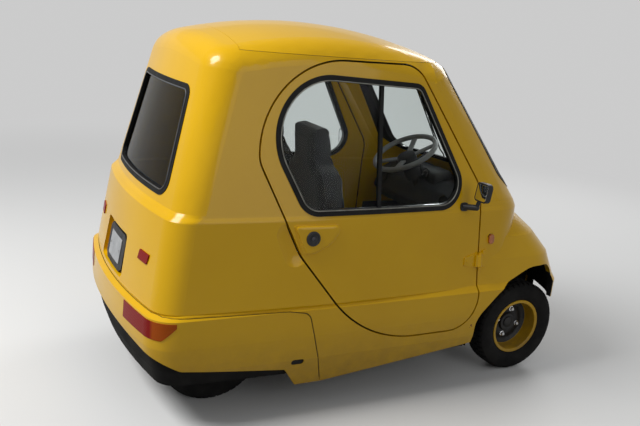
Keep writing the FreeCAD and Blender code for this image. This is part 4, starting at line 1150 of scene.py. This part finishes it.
def headliner(shape):
    """A felt lining that follows the roof's inner face."""
    roof = node_tree_of("roof_panel")
    bmesh.ops.create_grid(shape, x_segments=34, y_segments=30, size=0.5)
    bmesh.ops.scale(shape, vec=(0.70, 0.72, 1.0), verts=shape.verts)
    bmesh.ops.translate(shape, vec=(at(800.0, 0, 0).x, 0, 0), verts=shape.verts)
    lost = []
    for vert in shape.verts:
        place, normal = first_hit(roof, Vector((vert.co.x, vert.co.y, 1.30)), (0.0, 0.0, 1.0))
        if place is None:
            lost.append(vert)
        else:
            vert.co = place + 0.003 * normal
    bmesh.ops.delete(shape, geom=lost, context="VERTS")
    bmesh.ops.recalc_face_normals(shape, faces=shape.faces)
    bmesh.ops.solidify(shape, geom=shape.faces, thickness=0.002)


piece("headliner", "body", liner_cloth, headliner)


# Floor, backdrop, light

FLAT_RADIUS = 8500.0
SWEEP_RADIUS = 2500.0
SWEEP_STEPS = 24
WALL_TOP = 4600.0
FLOOR_LIGHT = (0.20, 0.20, 0.20)
FLOOR_SEEN = (0.68, 0.68, 0.67)
FAR_TONE = (0.60, 0.60, 0.60, 1.0)
FAR_START = 2.0
FAR_FULL = 6.5


def bowl_shape(shape):
    """A round floor that turns up into a wall in one smooth sweep."""
    profile = [(0.0, 0.0), (3000.0, 0.0), (FLAT_RADIUS, 0.0)]
    for step in range(1, SWEEP_STEPS + 1):
        angle = math.radians(90.0 * step / SWEEP_STEPS)
        profile.append((FLAT_RADIUS + SWEEP_RADIUS * math.sin(angle), SWEEP_RADIUS * (1.0 - math.cos(angle))))
    profile.append((FLAT_RADIUS + SWEEP_RADIUS, WALL_TOP))
    turned(shape, profile, 128, Matrix.Identity(4))
    bmesh.ops.remove_doubles(shape, verts=shape.verts, dist=0.0001)
    for face in shape.faces:
        face.smooth = True


def floor_finish():
    """A pale floor that throws little light back at the car, and shows as one even tone far out."""
    mat, tree, shader = finish_material("pale_floor", (0.80, 0.80, 0.79), 0.9, gloss=0.2)
    path = add(tree, "LightPath")
    seen = combined(tree, "MAXIMUM", path.outputs["Is Camera Ray"], path.outputs["Is Glossy Ray"])
    seen = combined(tree, "MAXIMUM", seen, path.outputs["Is Transmission Ray"])
    tree.links.new(ramp(tree, seen, ((0.0, FLOOR_LIGHT), (1.0, FLOOR_SEEN))), shader.inputs["Base Color"])
    distance = add(tree, "VectorMath", operation="LENGTH")
    tree.links.new(own_place(tree), distance.inputs[0])
    outwards = rescaled(tree, distance.outputs["Value"], FAR_START, FAR_FULL, ease="SMOOTHSTEP")
    even = add(tree, "Emission", Strength=1.0)
    even.inputs["Color"].default_value = FAR_TONE
    mixed = add(tree, "MixShader")
    tree.links.new(combined(tree, "MULTIPLY", outwards, seen), mixed.inputs["Fac"])
    tree.links.new(shader.outputs["BSDF"], mixed.inputs[1])
    tree.links.new(even.outputs["Emission"], mixed.inputs[2])
    tree.links.new(mixed.outputs["Shader"], tree.nodes["Material Output"].inputs["Surface"])
    return mat


bowl = bmesh.new()
bowl_shape(bowl)
floor_mesh = mesh_from(bowl, "studio_floor")
floor_mesh.materials.append(floor_finish())
studio_floor = in_scene("studio_floor", floor_mesh)


def area_light(name, place, target, size, power):
    lamp = bpy.data.lights.new(name, "AREA")
    lamp.shape = "DISK"
    lamp.size = size
    lamp.energy = power
    aim = (Vector(target) - Vector(place)).to_track_quat("-Z", "Y")
    in_scene(name, lamp).matrix_world = shift(place) @ aim.to_matrix().to_4x4()


area_light("key_light", (-4.4, 0.2, 5.0), (-0.2, 0, 0.7), 2.6, 360)
area_light("side_fill", (1.5, -7.0, 3.0), (0.0, 0, 0.7), 5.0, 85)
area_light("front_fill", (5.5, 3.5, 3.5), (0.3, 0, 0.8), 4.0, 170)
world = bpy.data.worlds.new("studio_world")
bpy.context.scene.world = world
world.use_nodes = True
sky = world.node_tree.nodes["Background"]
sky.inputs["Color"].default_value = (0.95, 0.97, 1.0, 1.0)
sky.inputs["Strength"].default_value = 0.36

bpy.context.scene.view_settings.view_transform = "Standard"
